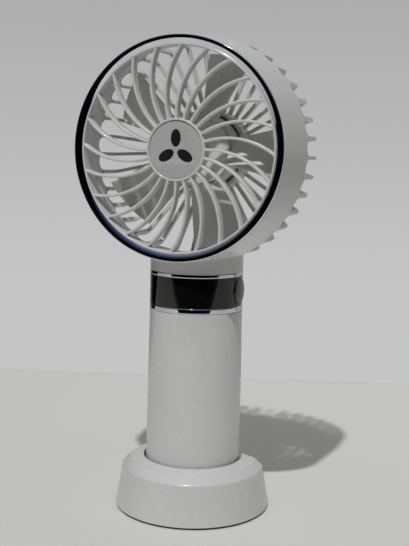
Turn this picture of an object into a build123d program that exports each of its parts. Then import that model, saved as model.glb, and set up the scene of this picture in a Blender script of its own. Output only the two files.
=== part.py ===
"""A handheld fan standing in its round base.

+Z is up and the fan faces -Y. The origin is the middle of the base's underside.

Millimetres. The handle's axis is Z. The fan's axis is parallel to Y at the height HEAD_Z.
Pieces of the head are drawn about their own Z axis, which points from the front of the fan to its back,
and are put in place with in_head().
"""
import math
import os

from build123d import *

os.makedirs("parts", exist_ok=True)

# ---------------------------------------------------------------- base
BASE_H = 23.0            # height of the lip round the handle
LIP_W = 5.7              # from the socket's mouth out to the crest
LIP_DROP = 1.1           # the crest is this much lower than the lip
SLOPE_W = 4.0            # from the crest out to the shoulder
SLOPE_DROP = 3.2
WALL_LEAN = 2.9          # from the shoulder out to the wall's foot
BASE_WALL = 1.8
BASE_EDGE_ROUND = 1.8    # rounding of the shoulder and the crest
FOOT_H = 1.0             # rubber foot ring
FOOT_INSET = 0.6         # from the wall's foot in to the rubber's edge
PLATE_T = 2.0            # bottom plate
PLATE_GAP = 0.15
BALLAST_T = 3.0
BALLAST_GAP = 0.2        # above the ballast
FLOOR_GAP = 0.4          # from the ballast to the bosses
FLOOR_T = 1.6            # floor of the socket
SOCKET_GAP = 0.4         # round the handle's foot, in the close part of the socket
MOUTH_GAP = 0.9          # round the handle, in the wide part of the socket
LEDGE_Z = 12.0           # top of the close part, and of the step behind the handle
CUTAWAY_Y = 9.3          # the collar is cut away behind this plane
CUTAWAY_ROUND = 1.2
SEAT_GAP = 0.1           # under the handle's foot
BASE_SCREW_COUNT = 3
BASE_BOSS_R = 2.8
BASE_BOSS_OFFSET = 2.1   # from the socket's wall out to a boss's axis

# ---------------------------------------------------------------- handle
HANDLE_TOP_R = 21.0      # also the band, the trim rings and the neck
HANDLE_TAPER = 0.9       # the foot is wider than the top by this much
HANDLE_LENGTH = 83.6     # from the foot to the lower trim ring
HANDLE_WALL = 1.8        # at the top
CAP_T = 2.0              # bottom cap
CAP_INSET = 0.3
SPIGOT_WALL = 1.8
SPIGOT_H = 3.1
FIT_GAP = 0.1            # between pieces that slide into each other and stay
CELL_R = 9.15            # a standard cell
CELL_ROOM = 18.6         # of the handle's length, not taken by the cell
CRADLE_WALL = 1.3
CRADLE_DISC_T = 2.0
CRADLE_OFFSET = 6.6      # from the charging board up to the cradle's lower disc
CRADLE_POST_INSET = 5.7  # from the handle's bore in to a post's axis
CRADLE_POST_R = 2.2
TAB_T = 0.2
CHARGE_BOARD_T = 1.2
PORT_WIDTH = 8.94        # charging socket
PORT_HEIGHT = 3.16
PORT_DEPTH = 7.3
PORT_WALL = 0.3
PORT_RECESS = 1.2        # from the handle's surface in to the socket's mouth
PORT_CLEARANCE = 0.25    # round the socket, in the handle's wall
LENS_R = 1.0
LENS_X = 8.0
LEAD_R = 1.0
CHARGE_LEAD_INSET = 4.6  # from the handle's bore in to the lead
CHARGE_LIGHT_INSET = 5.6 # from the handle's bore in to the charge light
CELL_LEAD_X = -6.0
LEAD_ENTRY = 6.4         # from the control board's lower edge up to the leads' ends

# ---------------------------------------------------------------- neck
LOWER_RING_H = 2.5
BAND_MARGIN = 0.85       # of the band, above and below the button
UPPER_RING_H = 2.0
TRIM_PROUD = 0.1         # of the trim rings beyond the band
TRIM_EDGE = 0.3
SLEEVE_WALL = 1.5
SLEEVE_DOWN = 8.0        # how far the sleeve reaches into the handle
SLEEVE_UP = 1.2          # and above the upper trim ring
BUTTON_R = 5.75
BUTTON_RUNNING_GAP = 0.08
BUTTON_PROUD = 0.5       # the crown of the button beyond the band
BUTTON_CROWN = 0.5
BUTTON_FLANGE_LIP = 0.85
BUTTON_FLANGE_T = 1.0
BUTTON_FLANGE_GAP = 0.4  # from the flange's rim to the handle's bore
BUTTON_STEM_R = 2.0
BUTTON_STEM_LENGTH = 1.7
BUTTON_TRAVEL = 0.6
CONTROL_BOARD_T = 1.2
CONTROL_BOARD_WIDTH = 20.0
CONTROL_BOARD_HEIGHT = 15.6
FRAME_T = 1.6
SWITCH_SIZE = 6.0
SWITCH_DEPTH = 3.5
PLUNGER_R = 1.7
PLUNGER_SETBACK = 0.3    # how far the plunger starts inside the switch

# ---------------------------------------------------------------- head
NECK_VISIBLE = 2.6       # from the upper trim ring up to the lowest point of the drum
DRUM_R = 50.5            # at the back
DRUM_TAPER = 2.9         # narrower than that at the seam with the bezel
TAPER_END_Y = -4.0       # behind this the wall is straight
DRUM_WALL = 1.8
FRONT_Y = -28.5          # front edge of the bezel
DRUM_BACK_Y = 0.2        # end of the plain wall, between the slots' rounded ends
SIDE_END_Y = 11.6        # where the bars start to turn inwards
REAR_CORNER_R = 4.0
REAR_RISE = 3.5          # the back is domed by this much
REAR_BAR_COUNT = 37
REAR_BAR_FIRST = 90      # degrees from +X round to the first bar, under the motor's wide arm
REAR_BAR_W = 1.45
REAR_BAR_DEPTH = 2.2
MOTOR_CUP_GAP = 1.05     # between the impeller's hub and the wall round the motor
MOTOR_SEAT_T = 2.3
MOTOR_CUP_WALL = 1.6
MOTOR_CUP_DEPTH = 6.5    # of the wall round the motor, in front of the seat
REAR_CAP_INSET = 4.1     # from the seat's edge in to the cap
REAR_CAP_T = 1.2
LEAD_ARM_W = 6.4         # the wide bar over the neck, which hides the motor's lead
LEAD_ARM_DEPTH = 4.6
LEAD_ARM_SKIN = 1.6      # left behind the lead's groove
LEAD_GROOVE_W = 2.8
MOTOR_LEAD_INSET = 3.1   # from the back's edge forward to where the motor's lead rises
NECK_WALL = 1.8
NECK_ROOF_FRONT = 7.7    # height of the neck's back slope over the drum's lowest point, at its front
NECK_ROOF_BACK = 0.8     # the same at the back of the neck

BEZEL_LIP = 0.1          # the bezel's foot stands this far outside the chrome ring
CHROME_W = 3.5
CHROME_T = 1.7
CHROME_DISH = 1.0        # the chrome ring's inner edge lies this far behind its front
CHROME_CROWN = 0.22      # its dished face bulges by this much
CHROME_EDGE = 0.4        # its outer edge is turned back by this much
GRILLE_SETBACK = 0.7     # of the rim and the hub, behind the chrome ring's front
GRILLE_LIP_W = 0.8       # width of the rim inside the chrome ring
GRILLE_LIP_DEPTH = 7.0
GRILLE_FLANGE_T = 0.8    # behind the chrome ring
GRILLE_RIM_WALL = 1.2
GRILLE_SPIGOT_DEPTH = 3.8
RIB_COUNT = 24
RIB_W = 1.15
RIB_DEPTH = 4.2
RIB_FRONT_GAP = 0.2      # ribs start this far behind the rim's front
RIB_SWEEP = 18.0         # degrees from hub to rim, clockwise seen from the front
RIB_ARC_R = 34.0
RIB_START = -0.6         # degrees
HUB_R = 13.2
HUB_WALL = 0.9
HUB_DEPTH = 6.0
HUB_FLOOR_T = 1.2        # behind the cap
HUB_CAP_T = 1.4
HUB_CAP_SETBACK = 0.5
MARK_T = 0.25
MARK_PETALS = 3
MARK_PETAL_R = 4.9       # from the middle to the middle of a petal
MARK_PETAL_LENGTH = 7.4
MARK_PETAL_WIDTH = 4.4

# ---------------------------------------------------------------- motor and impeller
SHAFT_R = 1.0
SHAFT_BEYOND_SEAT = 1.3
BEARING_GAP = 0.03       # running clearance on the shaft
BEARING_TUBE_R = 4.2
BEARING_R = 3.1
BEARING_T = 2.5
FRONT_BEARING_SETBACK = 2.0   # from the rotor's front
REAR_BEARING_SETBACK = 1.6    # from the seat forward to the bearing
MOTOR_FLANGE_INSET = 1.2 # inside the rotor's outer radius
MOTOR_FLANGE_T = 1.6
MOTOR_BOARD_INSET = 0.4  # inside the flange's edge
MOTOR_BOARD_T = 1.0
MOTOR_BOARD_GAP = 0.7    # in front of the flange
POLE_COUNT = 9
STATOR_AIR_GAP = 0.6     # between the stator and the magnet
STATOR_SETBACK = 5.2     # from the rotor's front
STATOR_T = 6.5
COIL_OVERHANG = 1.3
MAGNET_R = 13.8
MAGNET_T = 1.6
MAGNET_SETBACK = 2.7     # from the rotor's front
MAGNET_LENGTH = 9.6
ROTOR_WALL = 0.8
ROTOR_LENGTH = 12.6
ROTOR_BACK_GAP = 4.1     # from the rotor back to the seat
BLADE_COUNT = 5
BLADE_TIP_GAP = 2.8      # from the blades' tips to the drum's narrow end
BLADE_T = 1.2
BLADE_ROOT_CHORD = 17.0
BLADE_TIP_CHORD = 27.0
BLADE_ROOT_PITCH = 48.0
BLADE_TIP_PITCH = 27.0
BLADE_SETBACK = 0.6      # from the rotor's front to the blades' middle
IMPELLER_WALL = 1.7
IMPELLER_NOSE = 2.6
IMPELLER_BACK_INSET = 0.8     # the rotor stands this far out of the impeller's back

# ---------------------------------------------------------------- worked out from the above
HANDLE_LOW_R = HANDLE_TOP_R + HANDLE_TAPER
HANDLE_BORE_R = HANDLE_TOP_R - HANDLE_WALL
PLATE_TOP = FOOT_H + PLATE_T
FLOOR_TOP = PLATE_TOP + BALLAST_T + BALLAST_GAP + FLOOR_T
SOCKET_R = HANDLE_LOW_R + SOCKET_GAP
MOUTH_R = HANDLE_LOW_R + MOUTH_GAP
CREST_R = MOUTH_R + LIP_W
CREST_Z = BASE_H - LIP_DROP
SHOULDER_R = CREST_R + SLOPE_W
SHOULDER_Z = CREST_Z - SLOPE_DROP
BASE_R = SHOULDER_R + WALL_LEAN
BASE_SCREW_PITCH_R = MOUTH_R + BASE_WALL + BASE_BOSS_OFFSET
BALLAST_R = BASE_SCREW_PITCH_R - BASE_BOSS_R - FLOOR_GAP
FOOT_INNER_R = BASE_SCREW_PITCH_R + BASE_BOSS_R
HANDLE_FOOT = FLOOR_TOP + SEAT_GAP
HANDLE_TOP = HANDLE_FOOT + HANDLE_LENGTH
TUBE_LOW = HANDLE_FOOT + CAP_T
BOARD_Z = TUBE_LOW + SPIGOT_H
BOARD_TOP = BOARD_Z + CHARGE_BOARD_T
PORT_Z = BOARD_TOP + PORT_HEIGHT / 2
CRADLE_Z = BOARD_TOP + CRADLE_OFFSET
CELL_Z = CRADLE_Z + CRADLE_DISC_T + TAB_T
CELL_LENGTH = HANDLE_LENGTH - CELL_ROOM
CELL_TOP = CELL_Z + CELL_LENGTH
BAND_Z = HANDLE_TOP + LOWER_RING_H
BAND_H = 2 * (BUTTON_R + BAND_MARGIN)
UPPER_RING_Z = BAND_Z + BAND_H
NECK_Z = UPPER_RING_Z + UPPER_RING_H
HEAD_Z = NECK_Z + NECK_VISIBLE + DRUM_R
SLEEVE_R = HANDLE_BORE_R - FIT_GAP
SLEEVE_BORE_R = SLEEVE_R - SLEEVE_WALL
BUTTON_Z = BAND_Z + BAND_H / 2
BUTTON_FACE_X = HANDLE_TOP_R + BUTTON_PROUD
BUTTON_FLANGE_R = BUTTON_R + BUTTON_FLANGE_LIP
BUTTON_FLANGE_X = math.sqrt((HANDLE_BORE_R - BUTTON_FLANGE_GAP) ** 2 - BUTTON_FLANGE_R ** 2)
PLUNGER_TIP_X = BUTTON_FLANGE_X - BUTTON_FLANGE_T - BUTTON_STEM_LENGTH
SWITCH_FACE_X = PLUNGER_TIP_X - BUTTON_TRAVEL * 2
CONTROL_BOARD_FACE_X = SWITCH_FACE_X - SWITCH_DEPTH
CONTROL_BOARD_X = CONTROL_BOARD_FACE_X - CONTROL_BOARD_T
CRADLE_POST_X = HANDLE_BORE_R - CRADLE_POST_INSET
CHARGE_LEAD_Y = HANDLE_BORE_R - CHARGE_LEAD_INSET
CHARGE_LIGHT_Y = HANDLE_BORE_R - CHARGE_LIGHT_INSET
CONTROL_BOARD_Z = BUTTON_Z - CONTROL_BOARD_HEIGHT / 2
LEAD_END_Z = CONTROL_BOARD_Z + LEAD_ENTRY
DRUM_FRONT_R = DRUM_R - DRUM_TAPER
DRUM_BORE_R = DRUM_R - DRUM_WALL
DRUM_FRONT_BORE_R = DRUM_FRONT_R - DRUM_WALL
SLOT_END_R = math.pi * DRUM_BORE_R / REAR_BAR_COUNT - REAR_BAR_W / 2
CHROME_OUTER_R = DRUM_FRONT_R - BEZEL_LIP
CHROME_INNER_R = CHROME_OUTER_R - CHROME_W
GRILLE_OPENING_R = CHROME_INNER_R - GRILLE_LIP_W
BLADE_TIP_R = DRUM_FRONT_BORE_R - BLADE_TIP_GAP
CHROME_Y = FRONT_Y + CHROME_T
SEAM_Y = CHROME_Y + GRILLE_FLANGE_T
FACE_Y = FRONT_Y + GRILLE_SETBACK
CROWN_Y = SIDE_END_Y + REAR_CORNER_R
REAR_Y = CROWN_Y + REAR_RISE
ROTOR_R = MAGNET_R + ROTOR_WALL
IMPELLER_BORE_R = ROTOR_R + 0.05
IMPELLER_HUB_R = IMPELLER_BORE_R + IMPELLER_WALL
MOTOR_SEAT_R = IMPELLER_HUB_R + MOTOR_CUP_GAP + MOTOR_CUP_WALL
REAR_CAP_R = MOTOR_SEAT_R - REAR_CAP_INSET
MOTOR_FLANGE_R = ROTOR_R - MOTOR_FLANGE_INSET
MOTOR_BOARD_R = MOTOR_FLANGE_R - MOTOR_BOARD_INSET
STATOR_R = MAGNET_R - MAGNET_T - STATOR_AIR_GAP
MOTOR_SEAT_Y = REAR_Y - REAR_CAP_T - MOTOR_SEAT_T
FLANGE_Y = MOTOR_SEAT_Y - MOTOR_FLANGE_T
MOTOR_BOARD_Y = FLANGE_Y - MOTOR_BOARD_GAP - MOTOR_BOARD_T
MOTOR_CUP_Y = MOTOR_SEAT_Y - MOTOR_CUP_DEPTH
MOTOR_LEAD_Y = CROWN_Y - MOTOR_LEAD_INSET
SHAFT_BACK_Y = MOTOR_SEAT_Y + SHAFT_BEYOND_SEAT
ROTOR_BACK_Y = MOTOR_SEAT_Y - ROTOR_BACK_GAP
ROTOR_FRONT_Y = ROTOR_BACK_Y - ROTOR_LENGTH
FRONT_BEARING_Y = ROTOR_FRONT_Y + FRONT_BEARING_SETBACK
REAR_BEARING_Y = MOTOR_SEAT_Y - REAR_BEARING_SETBACK - BEARING_T
STATOR_Y = ROTOR_FRONT_Y + STATOR_SETBACK
MAGNET_Y = ROTOR_FRONT_Y + MAGNET_SETBACK
BLADE_MID_Y = ROTOR_FRONT_Y + BLADE_SETBACK
IMPELLER_BACK_Y = ROTOR_BACK_Y - IMPELLER_BACK_INSET
HUB_CAP_R = HUB_R - HUB_WALL - 0.05

UP = (Align.CENTER, Align.CENTER, Align.MIN)


# ---------------------------------------------------------------- helpers
def rod(radius, low, high, x=0.0, y=0.0):
    """A round bar along Z from low to high."""
    return Pos(x, y, low) * Cylinder(radius, high - low, align=UP)


def tube(outer_r, inner_r, low, high, x=0.0, y=0.0):
    """A round tube along Z from low to high."""
    return rod(outer_r, low, high, x, y) - rod(inner_r, low - 1, high + 1, x, y)


def block(x_range, y_range, z_range):
    """A box between two corners."""
    size = [high - low for low, high in (x_range, y_range, z_range)]
    middle = [(low + high) / 2 for low, high in (x_range, y_range, z_range)]
    return Pos(*middle) * Box(*size)


def turned(points):
    """A solid of revolution about Z from an outline of (radius, height) points."""
    return revolve(Plane.XZ * Polygon(*points, align=None), Axis.Z, 360)


def around(shape, count, first=0.0):
    """Copies of a shape turned about Z, evenly spaced."""
    return [Rot(0, 0, first + 360 * i / count) * shape for i in range(count)]


def in_head(shape):
    """Put a piece drawn about its own Z axis on the fan's axis, front to back along +Y."""
    place = Plane(origin=(0, 0, HEAD_Z), x_dir=(1, 0, 0), z_dir=(0, 1, 0))
    return place.location * shape


def screw(head_r, head_h, shank_r, length):
    """A pan-head screw that points up, with the underside of its head at z = 0 and a cross recess."""
    body = rod(head_r, -head_h, 0) + rod(shank_r, -head_h / 2, length)
    cross = Box(head_r * 1.1, head_r * 0.25, head_h) + Box(head_r * 0.25, head_r * 1.1, head_h)
    return body - Pos(0, 0, -head_h) * cross


def lead(points, radii, radius=LEAD_R):
    """A round lead along straight runs joined by tangent arcs."""
    path = FilletPolyline(*points, radius=radii)
    start = Plane(origin=path @ 0, z_dir=path % 0)
    return sweep(start * Circle(radius), path=path)


# ---------------------------------------------------------------- base pieces
def base_outline():
    """Outer form of the base above the foot ring, with no hollow in it."""
    profile = Polygon(
        (0, FOOT_H), (BASE_R, FOOT_H), (SHOULDER_R, SHOULDER_Z), (CREST_R, CREST_Z),
        (MOUTH_R, BASE_H), (0, BASE_H), align=None,
    )
    corners = [v for v in profile.vertices() if SHOULDER_Z - 1 < v.Y < BASE_H - 0.5]
    return revolve(Plane.XZ * fillet(corners, BASE_EDGE_ROUND), Axis.Z, 360)


def cutaway(wall):
    """The room behind the collar, cut from the outer form, and from the hollow with a wall left."""
    reach = BASE_R * 2
    room = block((-reach, reach), (CUTAWAY_Y - wall, reach), (LEDGE_Z - wall, BASE_H + 1))
    front_edges = room.edges().filter_by(Axis.X).group_by(Axis.Y)[0].sort_by(Axis.Z)
    return fillet(front_edges[0], CUTAWAY_ROUND + wall)


def wall_r(z):
    """Outer radius of the base's tapered wall at a height."""
    return BASE_R + (SHOULDER_R - BASE_R) * (z - FOOT_H) / (SHOULDER_Z - FOOT_H)


def base_shell():
    """The collar and skirt, hollow from below, with the socket that holds the handle."""
    outer = base_outline() - cutaway(0)
    hollow = turned([
        (0, FOOT_H - 1), (wall_r(FOOT_H) - BASE_WALL, FOOT_H - 1), (wall_r(FOOT_H) - BASE_WALL, FOOT_H),
        (SHOULDER_R - BASE_WALL, SHOULDER_Z - BASE_WALL / 2), (CREST_R - BASE_WALL / 2, CREST_Z - BASE_WALL),
        (MOUTH_R + BASE_WALL, CREST_Z - BASE_WALL), (MOUTH_R + BASE_WALL, LEDGE_Z - BASE_WALL),
        (SOCKET_R + BASE_WALL, LEDGE_Z - BASE_WALL), (SOCKET_R + BASE_WALL, FLOOR_TOP - FLOOR_T),
        (0, FLOOR_TOP - FLOOR_T),
    ]) - cutaway(BASE_WALL)
    shell = outer - hollow
    boss = rod(BASE_BOSS_R, PLATE_TOP, LEDGE_Z + 2, BASE_SCREW_PITCH_R)
    boss -= rod(1.27, PLATE_TOP - 1, LEDGE_Z - 2, BASE_SCREW_PITCH_R)
    for place in around(boss, BASE_SCREW_COUNT, -90):
        shell += place & outer
    shell -= rod(SOCKET_R, FLOOR_TOP, BASE_H + 1)
    shell -= rod(MOUTH_R, LEDGE_Z, BASE_H + 1)
    return shell


def base_plate():
    """Bottom plate with counterbored screw holes."""
    plate = rod(wall_r(PLATE_TOP) - BASE_WALL - PLATE_GAP, FOOT_H, PLATE_TOP)
    hole = rod(1.4, FOOT_H - 1, PLATE_TOP + 1, BASE_SCREW_PITCH_R)
    hole += rod(2.4, FOOT_H - 1, FOOT_H + 1.25, BASE_SCREW_PITCH_R)
    return plate - around(hole, BASE_SCREW_COUNT, -90)


def ballast_disc():
    """Steel disc that keeps the fan from tipping."""
    return rod(BALLAST_R, PLATE_TOP, PLATE_TOP + BALLAST_T)


def foot_ring():
    """Rubber ring under the wall's foot."""
    return tube(BASE_R - FOOT_INSET, FOOT_INNER_R, 0, FOOT_H)


def base_screws():
    """Screws that hold the bottom plate to the shell."""
    one = Pos(BASE_SCREW_PITCH_R, 0, FOOT_H + 1.25) * screw(2.2, 1.2, 1.25, 6.5)
    return Compound(children=around(one, BASE_SCREW_COUNT, -90))


# ---------------------------------------------------------------- handle pieces
def handle_r(z):
    """Outer radius of the tapered handle at a height."""
    return HANDLE_LOW_R + (HANDLE_TOP_R - HANDLE_LOW_R) * (z - HANDLE_FOOT) / HANDLE_LENGTH


def port_opening(clearance, front, back):
    """The charging socket's rounded slot, along Y."""
    slot = SlotOverall(PORT_WIDTH + 2 * clearance, PORT_HEIGHT + 2 * clearance)
    face = Plane(origin=(0, front, PORT_Z), x_dir=(1, 0, 0), z_dir=(0, 1, 0)) * slot
    return extrude(face, back - front)


def lens_place():
    """Where the charge light's lens starts, inside the handle, pointing outwards."""
    return Plane(origin=(LENS_X, 0, PORT_Z), x_dir=(1, 0, 0), z_dir=(0, 1, 0)).location


def lens_end():
    """Depth of the handle's surface beside the lens."""
    return math.sqrt(handle_r(PORT_Z) ** 2 - (LENS_X + LENS_R) ** 2)


def handle_tube():
    """The tapered white grip."""
    low, top = handle_r(TUBE_LOW), HANDLE_TOP_R
    grip = turned([
        (HANDLE_BORE_R, TUBE_LOW), (low, TUBE_LOW), (top, HANDLE_TOP - 0.4), (top - 0.4, HANDLE_TOP),
        (HANDLE_BORE_R, HANDLE_TOP),
    ])
    grip -= port_opening(PORT_CLEARANCE, HANDLE_BORE_R / 2, HANDLE_LOW_R + 1)
    return grip - lens_place() * rod(LENS_R + 0.02, HANDLE_BORE_R / 2, HANDLE_LOW_R + 1)


def handle_bottom_cap():
    """Closes the handle's foot, with a spigot that carries the charging board."""
    cap = rod(handle_r(HANDLE_FOOT) - CAP_INSET, HANDLE_FOOT, TUBE_LOW)
    cap = chamfer(cap.edges().group_by(Axis.Z)[0], 0.4)
    spigot_r = HANDLE_BORE_R - FIT_GAP
    cap += tube(spigot_r, spigot_r - SPIGOT_WALL, TUBE_LOW, BOARD_Z)
    for x in (-CRADLE_POST_X, CRADLE_POST_X):
        cap -= rod(1.2, HANDLE_FOOT - 1, BOARD_Z, x)
        cap -= rod(2.1, HANDLE_FOOT - 1, HANDLE_FOOT + 1.1, x)
    return cap


def cap_screws():
    """Screws from the bottom cap up into the cradle's posts."""
    return Compound(children=[
        Pos(x, 0, HANDLE_FOOT + 1.1) * screw(1.9, 1.0, 1.0, 8.0) for x in (-CRADLE_POST_X, CRADLE_POST_X)
    ])


def charging_board():
    """Round board that rests on the bottom cap's spigot."""
    board = rod(HANDLE_BORE_R - 0.3, BOARD_Z, BOARD_TOP)
    for x in (-CRADLE_POST_X, CRADLE_POST_X):
        board -= rod(CRADLE_POST_R + 0.2, BOARD_Z - 1, BOARD_TOP + 1, x)
    return board


def charging_board_parts():
    """Charging chip, inductor, capacitors and the charge light on the board."""
    chip = block((-3, 2), (-6, -2), (BOARD_TOP, BOARD_TOP + 1.0))
    inductor = block((4, 9), (-9, -4), (BOARD_TOP, BOARD_TOP + 2.8))
    capacitors = [block((x, x + 1.6), (4, 6.5), (BOARD_TOP, BOARD_TOP + 1.2)) for x in (-8.0, -5.0, 3.0)]
    light_x = (LENS_X - 0.8, LENS_X + 0.8)
    light = block(light_x, (CHARGE_LIGHT_Y - 1.6, CHARGE_LIGHT_Y - 0.2), (BOARD_TOP, BOARD_TOP + 2.4))
    return Compound(children=[chip, inductor, light] + capacitors)


def port_mouth_y():
    """Where the charging socket's mouth lies."""
    return handle_r(PORT_Z) - PORT_RECESS


def charging_socket():
    """Steel shell of the charging socket."""
    mouth = port_mouth_y()
    shell = port_opening(0, mouth - PORT_DEPTH, mouth)
    return shell - port_opening(-PORT_WALL, mouth - PORT_DEPTH + 1.0, mouth + 1)


def socket_tongue():
    """Contact tongue inside the charging socket."""
    mouth = port_mouth_y()
    return block((-3.3, 3.3), (mouth - PORT_DEPTH + 1.0, mouth - 0.6), (PORT_Z - 0.35, PORT_Z + 0.35))


def charge_light_lens():
    """Clear pin that carries the charge light through the handle's wall."""
    return lens_place() * rod(LENS_R, CHARGE_LIGHT_Y, lens_end())


def cell():
    """Cylindrical lithium cell with its raised positive end."""
    body = rod(CELL_R, CELL_Z, CELL_TOP - 1.6)
    body = fillet(body.edges().group_by(Axis.Z)[-1], 0.8)
    return body + rod(3.2, CELL_TOP - 1.7, CELL_TOP)


def cell_insulator():
    """Paper ring round the positive end."""
    return tube(CELL_R - 1.0, 3.4, CELL_TOP - 1.6, CELL_TOP - 1.2)


def cell_tabs():
    """Nickel strips on both ends of the cell."""
    lower = block((-8.0, 3.0), (-2.5, 2.5), (CELL_Z - TAB_T, CELL_Z))
    upper = block((-8.0, 3.0), (-2.5, 2.5), (CELL_TOP, CELL_TOP + TAB_T))
    return Compound(children=[lower, upper])


def cell_cradle():
    """Plastic frame that locates the cell, with posts down through the charging board."""
    lower = rod(HANDLE_BORE_R - 0.3, CRADLE_Z, CRADLE_Z + CRADLE_DISC_T)
    upper = rod(SLEEVE_BORE_R - 0.3, CELL_TOP + TAB_T, CELL_TOP + TAB_T + CRADLE_DISC_T)
    trough = tube(CELL_R + 0.1 + CRADLE_WALL, CELL_R + 0.1, CRADLE_Z + CRADLE_DISC_T, CELL_TOP + TAB_T)
    trough &= block((-30, 30), (0.5, 30), (CRADLE_Z, CELL_TOP + 5))
    cradle = lower + upper + trough
    for x in (-CRADLE_POST_X, CRADLE_POST_X):
        post = rod(CRADLE_POST_R, BOARD_Z + 0.05, CRADLE_Z + 0.5, x)
        cradle += post
        cradle -= rod(1.02, BOARD_Z - 1, BOARD_Z + 6, x)
    cradle -= rod(LEAD_R + 0.3, CRADLE_Z - 1, CELL_TOP + 5, 0, -CHARGE_LEAD_Y)
    return cradle - rod(LEAD_R + 0.3, CELL_TOP, CELL_TOP + 5, CELL_LEAD_X)


def charge_lead():
    """Lead from the charging board up to the control board."""
    points = [
        (0, -CHARGE_LEAD_Y, BOARD_TOP), (0, -CHARGE_LEAD_Y, LEAD_END_Z - 5),
        (2.5, -4, LEAD_END_Z), (CONTROL_BOARD_X, -4, LEAD_END_Z),
    ]
    return lead(points, (4, 2.8))


def cell_lead():
    """Lead from the cell's upper tab to the control board."""
    points = [
        (CELL_LEAD_X, 0, CELL_TOP + TAB_T), (CELL_LEAD_X, 0, LEAD_END_Z - 5),
        (1.5, 2, LEAD_END_Z), (CONTROL_BOARD_X, 2, LEAD_END_Z),
    ]
    return lead(points, (3, 2.8))


# ---------------------------------------------------------------- neck pieces
def trim_ring(low, high):
    """A ring with softened outer edges, as wide as the band and a little proud of it."""
    outer = HANDLE_TOP_R + TRIM_PROUD
    return turned([
        (HANDLE_BORE_R, low), (outer - TRIM_EDGE, low), (outer, low + TRIM_EDGE), (outer, high - TRIM_EDGE),
        (outer - TRIM_EDGE, high), (HANDLE_BORE_R, high),
    ])


def lower_trim_ring():
    """Chrome ring between handle and band."""
    return trim_ring(HANDLE_TOP, BAND_Z)


def upper_trim_ring():
    """Chrome ring between band and neck."""
    return trim_ring(UPPER_RING_Z, NECK_Z)


def button_bore(radius, near, far):
    """A bore along X through the button's centre."""
    place = Plane(origin=(0, 0, BUTTON_Z), x_dir=(0, 1, 0), z_dir=(1, 0, 0))
    return place.location * rod(radius, near, far)


def neck_band():
    """Gloss black band with the button's hole."""
    band = tube(HANDLE_TOP_R, HANDLE_BORE_R, BAND_Z, UPPER_RING_Z)
    return band - button_bore(BUTTON_R + BUTTON_RUNNING_GAP, BUTTON_STEM_R, HANDLE_TOP_R * 2)


def neck_sleeve():
    """Inner sleeve that the rings and the band are stacked on, joining the handle to the head."""
    sleeve = tube(SLEEVE_R, SLEEVE_BORE_R, HANDLE_TOP - SLEEVE_DOWN, NECK_Z + SLEEVE_UP)
    return sleeve - button_bore(BUTTON_FLANGE_R + 0.3, BUTTON_STEM_R, HANDLE_TOP_R * 2)


def power_button():
    """Round push button with its crowned face, flange and stem."""
    place = Plane(origin=(0, 0, BUTTON_Z), x_dir=(0, 1, 0), z_dir=(1, 0, 0)).location
    edge = BUTTON_FACE_X - BUTTON_CROWN
    sides = Polyline((BUTTON_R, edge), (BUTTON_R, BUTTON_FLANGE_X), (0, BUTTON_FLANGE_X), (0, BUTTON_FACE_X))
    crown_middle = (BUTTON_R / 2, BUTTON_FACE_X - BUTTON_CROWN / 4)
    crown = ThreePointArc((0, BUTTON_FACE_X), crown_middle, (BUTTON_R, edge))
    cap = place * revolve(Plane.XZ * make_face(sides + crown), Axis.Z, 360)
    flange = button_bore(BUTTON_FLANGE_R, BUTTON_FLANGE_X - BUTTON_FLANGE_T, BUTTON_FLANGE_X)
    stem = button_bore(BUTTON_STEM_R, PLUNGER_TIP_X, BUTTON_FLANGE_X)
    return cap + flange + stem


def switch_plunger():
    """Moving plunger of the switch, which the button's stem pushes."""
    return button_bore(PLUNGER_R, SWITCH_FACE_X - PLUNGER_SETBACK, PLUNGER_TIP_X)


def switch_body():
    """Housing of the switch, on the control board."""
    half = SWITCH_SIZE / 2
    body = block((CONTROL_BOARD_FACE_X, SWITCH_FACE_X), (-half, half), (BUTTON_Z - half, BUTTON_Z + half))
    depth = SWITCH_FACE_X - PLUNGER_SETBACK - BUTTON_TRAVEL - 0.4
    return body - button_bore(PLUNGER_R + 0.1, depth, SWITCH_FACE_X + 1)


def control_board():
    """Upright board behind the button."""
    half = CONTROL_BOARD_WIDTH / 2
    z_range = (CONTROL_BOARD_Z, CONTROL_BOARD_Z + CONTROL_BOARD_HEIGHT)
    board = block((CONTROL_BOARD_X, CONTROL_BOARD_FACE_X), (-half, half), z_range)
    near, far = CONTROL_BOARD_X - 1, CONTROL_BOARD_FACE_X + 1
    return board - [along_x(1.05, near, far, y, z) for y, z in frame_screw_places()]


def along_x(radius, near, far, y, z):
    """A round bar along X."""
    return Plane(origin=(0, y, z), x_dir=(0, 1, 0), z_dir=(1, 0, 0)).location * rod(radius, near, far)


def frame_screw_places():
    """Where the control board is screwed to its frame, as (y, z)."""
    y = CONTROL_BOARD_WIDTH / 2 - 1.8
    return [(-y, CONTROL_BOARD_Z + 1.8), (y, CONTROL_BOARD_Z + CONTROL_BOARD_HEIGHT - 1.8)]


def board_frame():
    """Plastic frame across the sleeve that carries the control board."""
    low, high = CONTROL_BOARD_Z, CONTROL_BOARD_Z + CONTROL_BOARD_HEIGHT
    plate = block((CONTROL_BOARD_X - FRAME_T, CONTROL_BOARD_X), (-20, 20), (low, high))
    plate &= rod(SLEEVE_BORE_R - 0.05, low - 1, high + 1)
    half = CONTROL_BOARD_WIDTH / 2 - 3.6
    plate -= block((0, 20), (-half, half), (low + 3.4, high - 3.4))
    return plate - [along_x(0.82, 0, 20, y, z) for y, z in frame_screw_places()]


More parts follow.
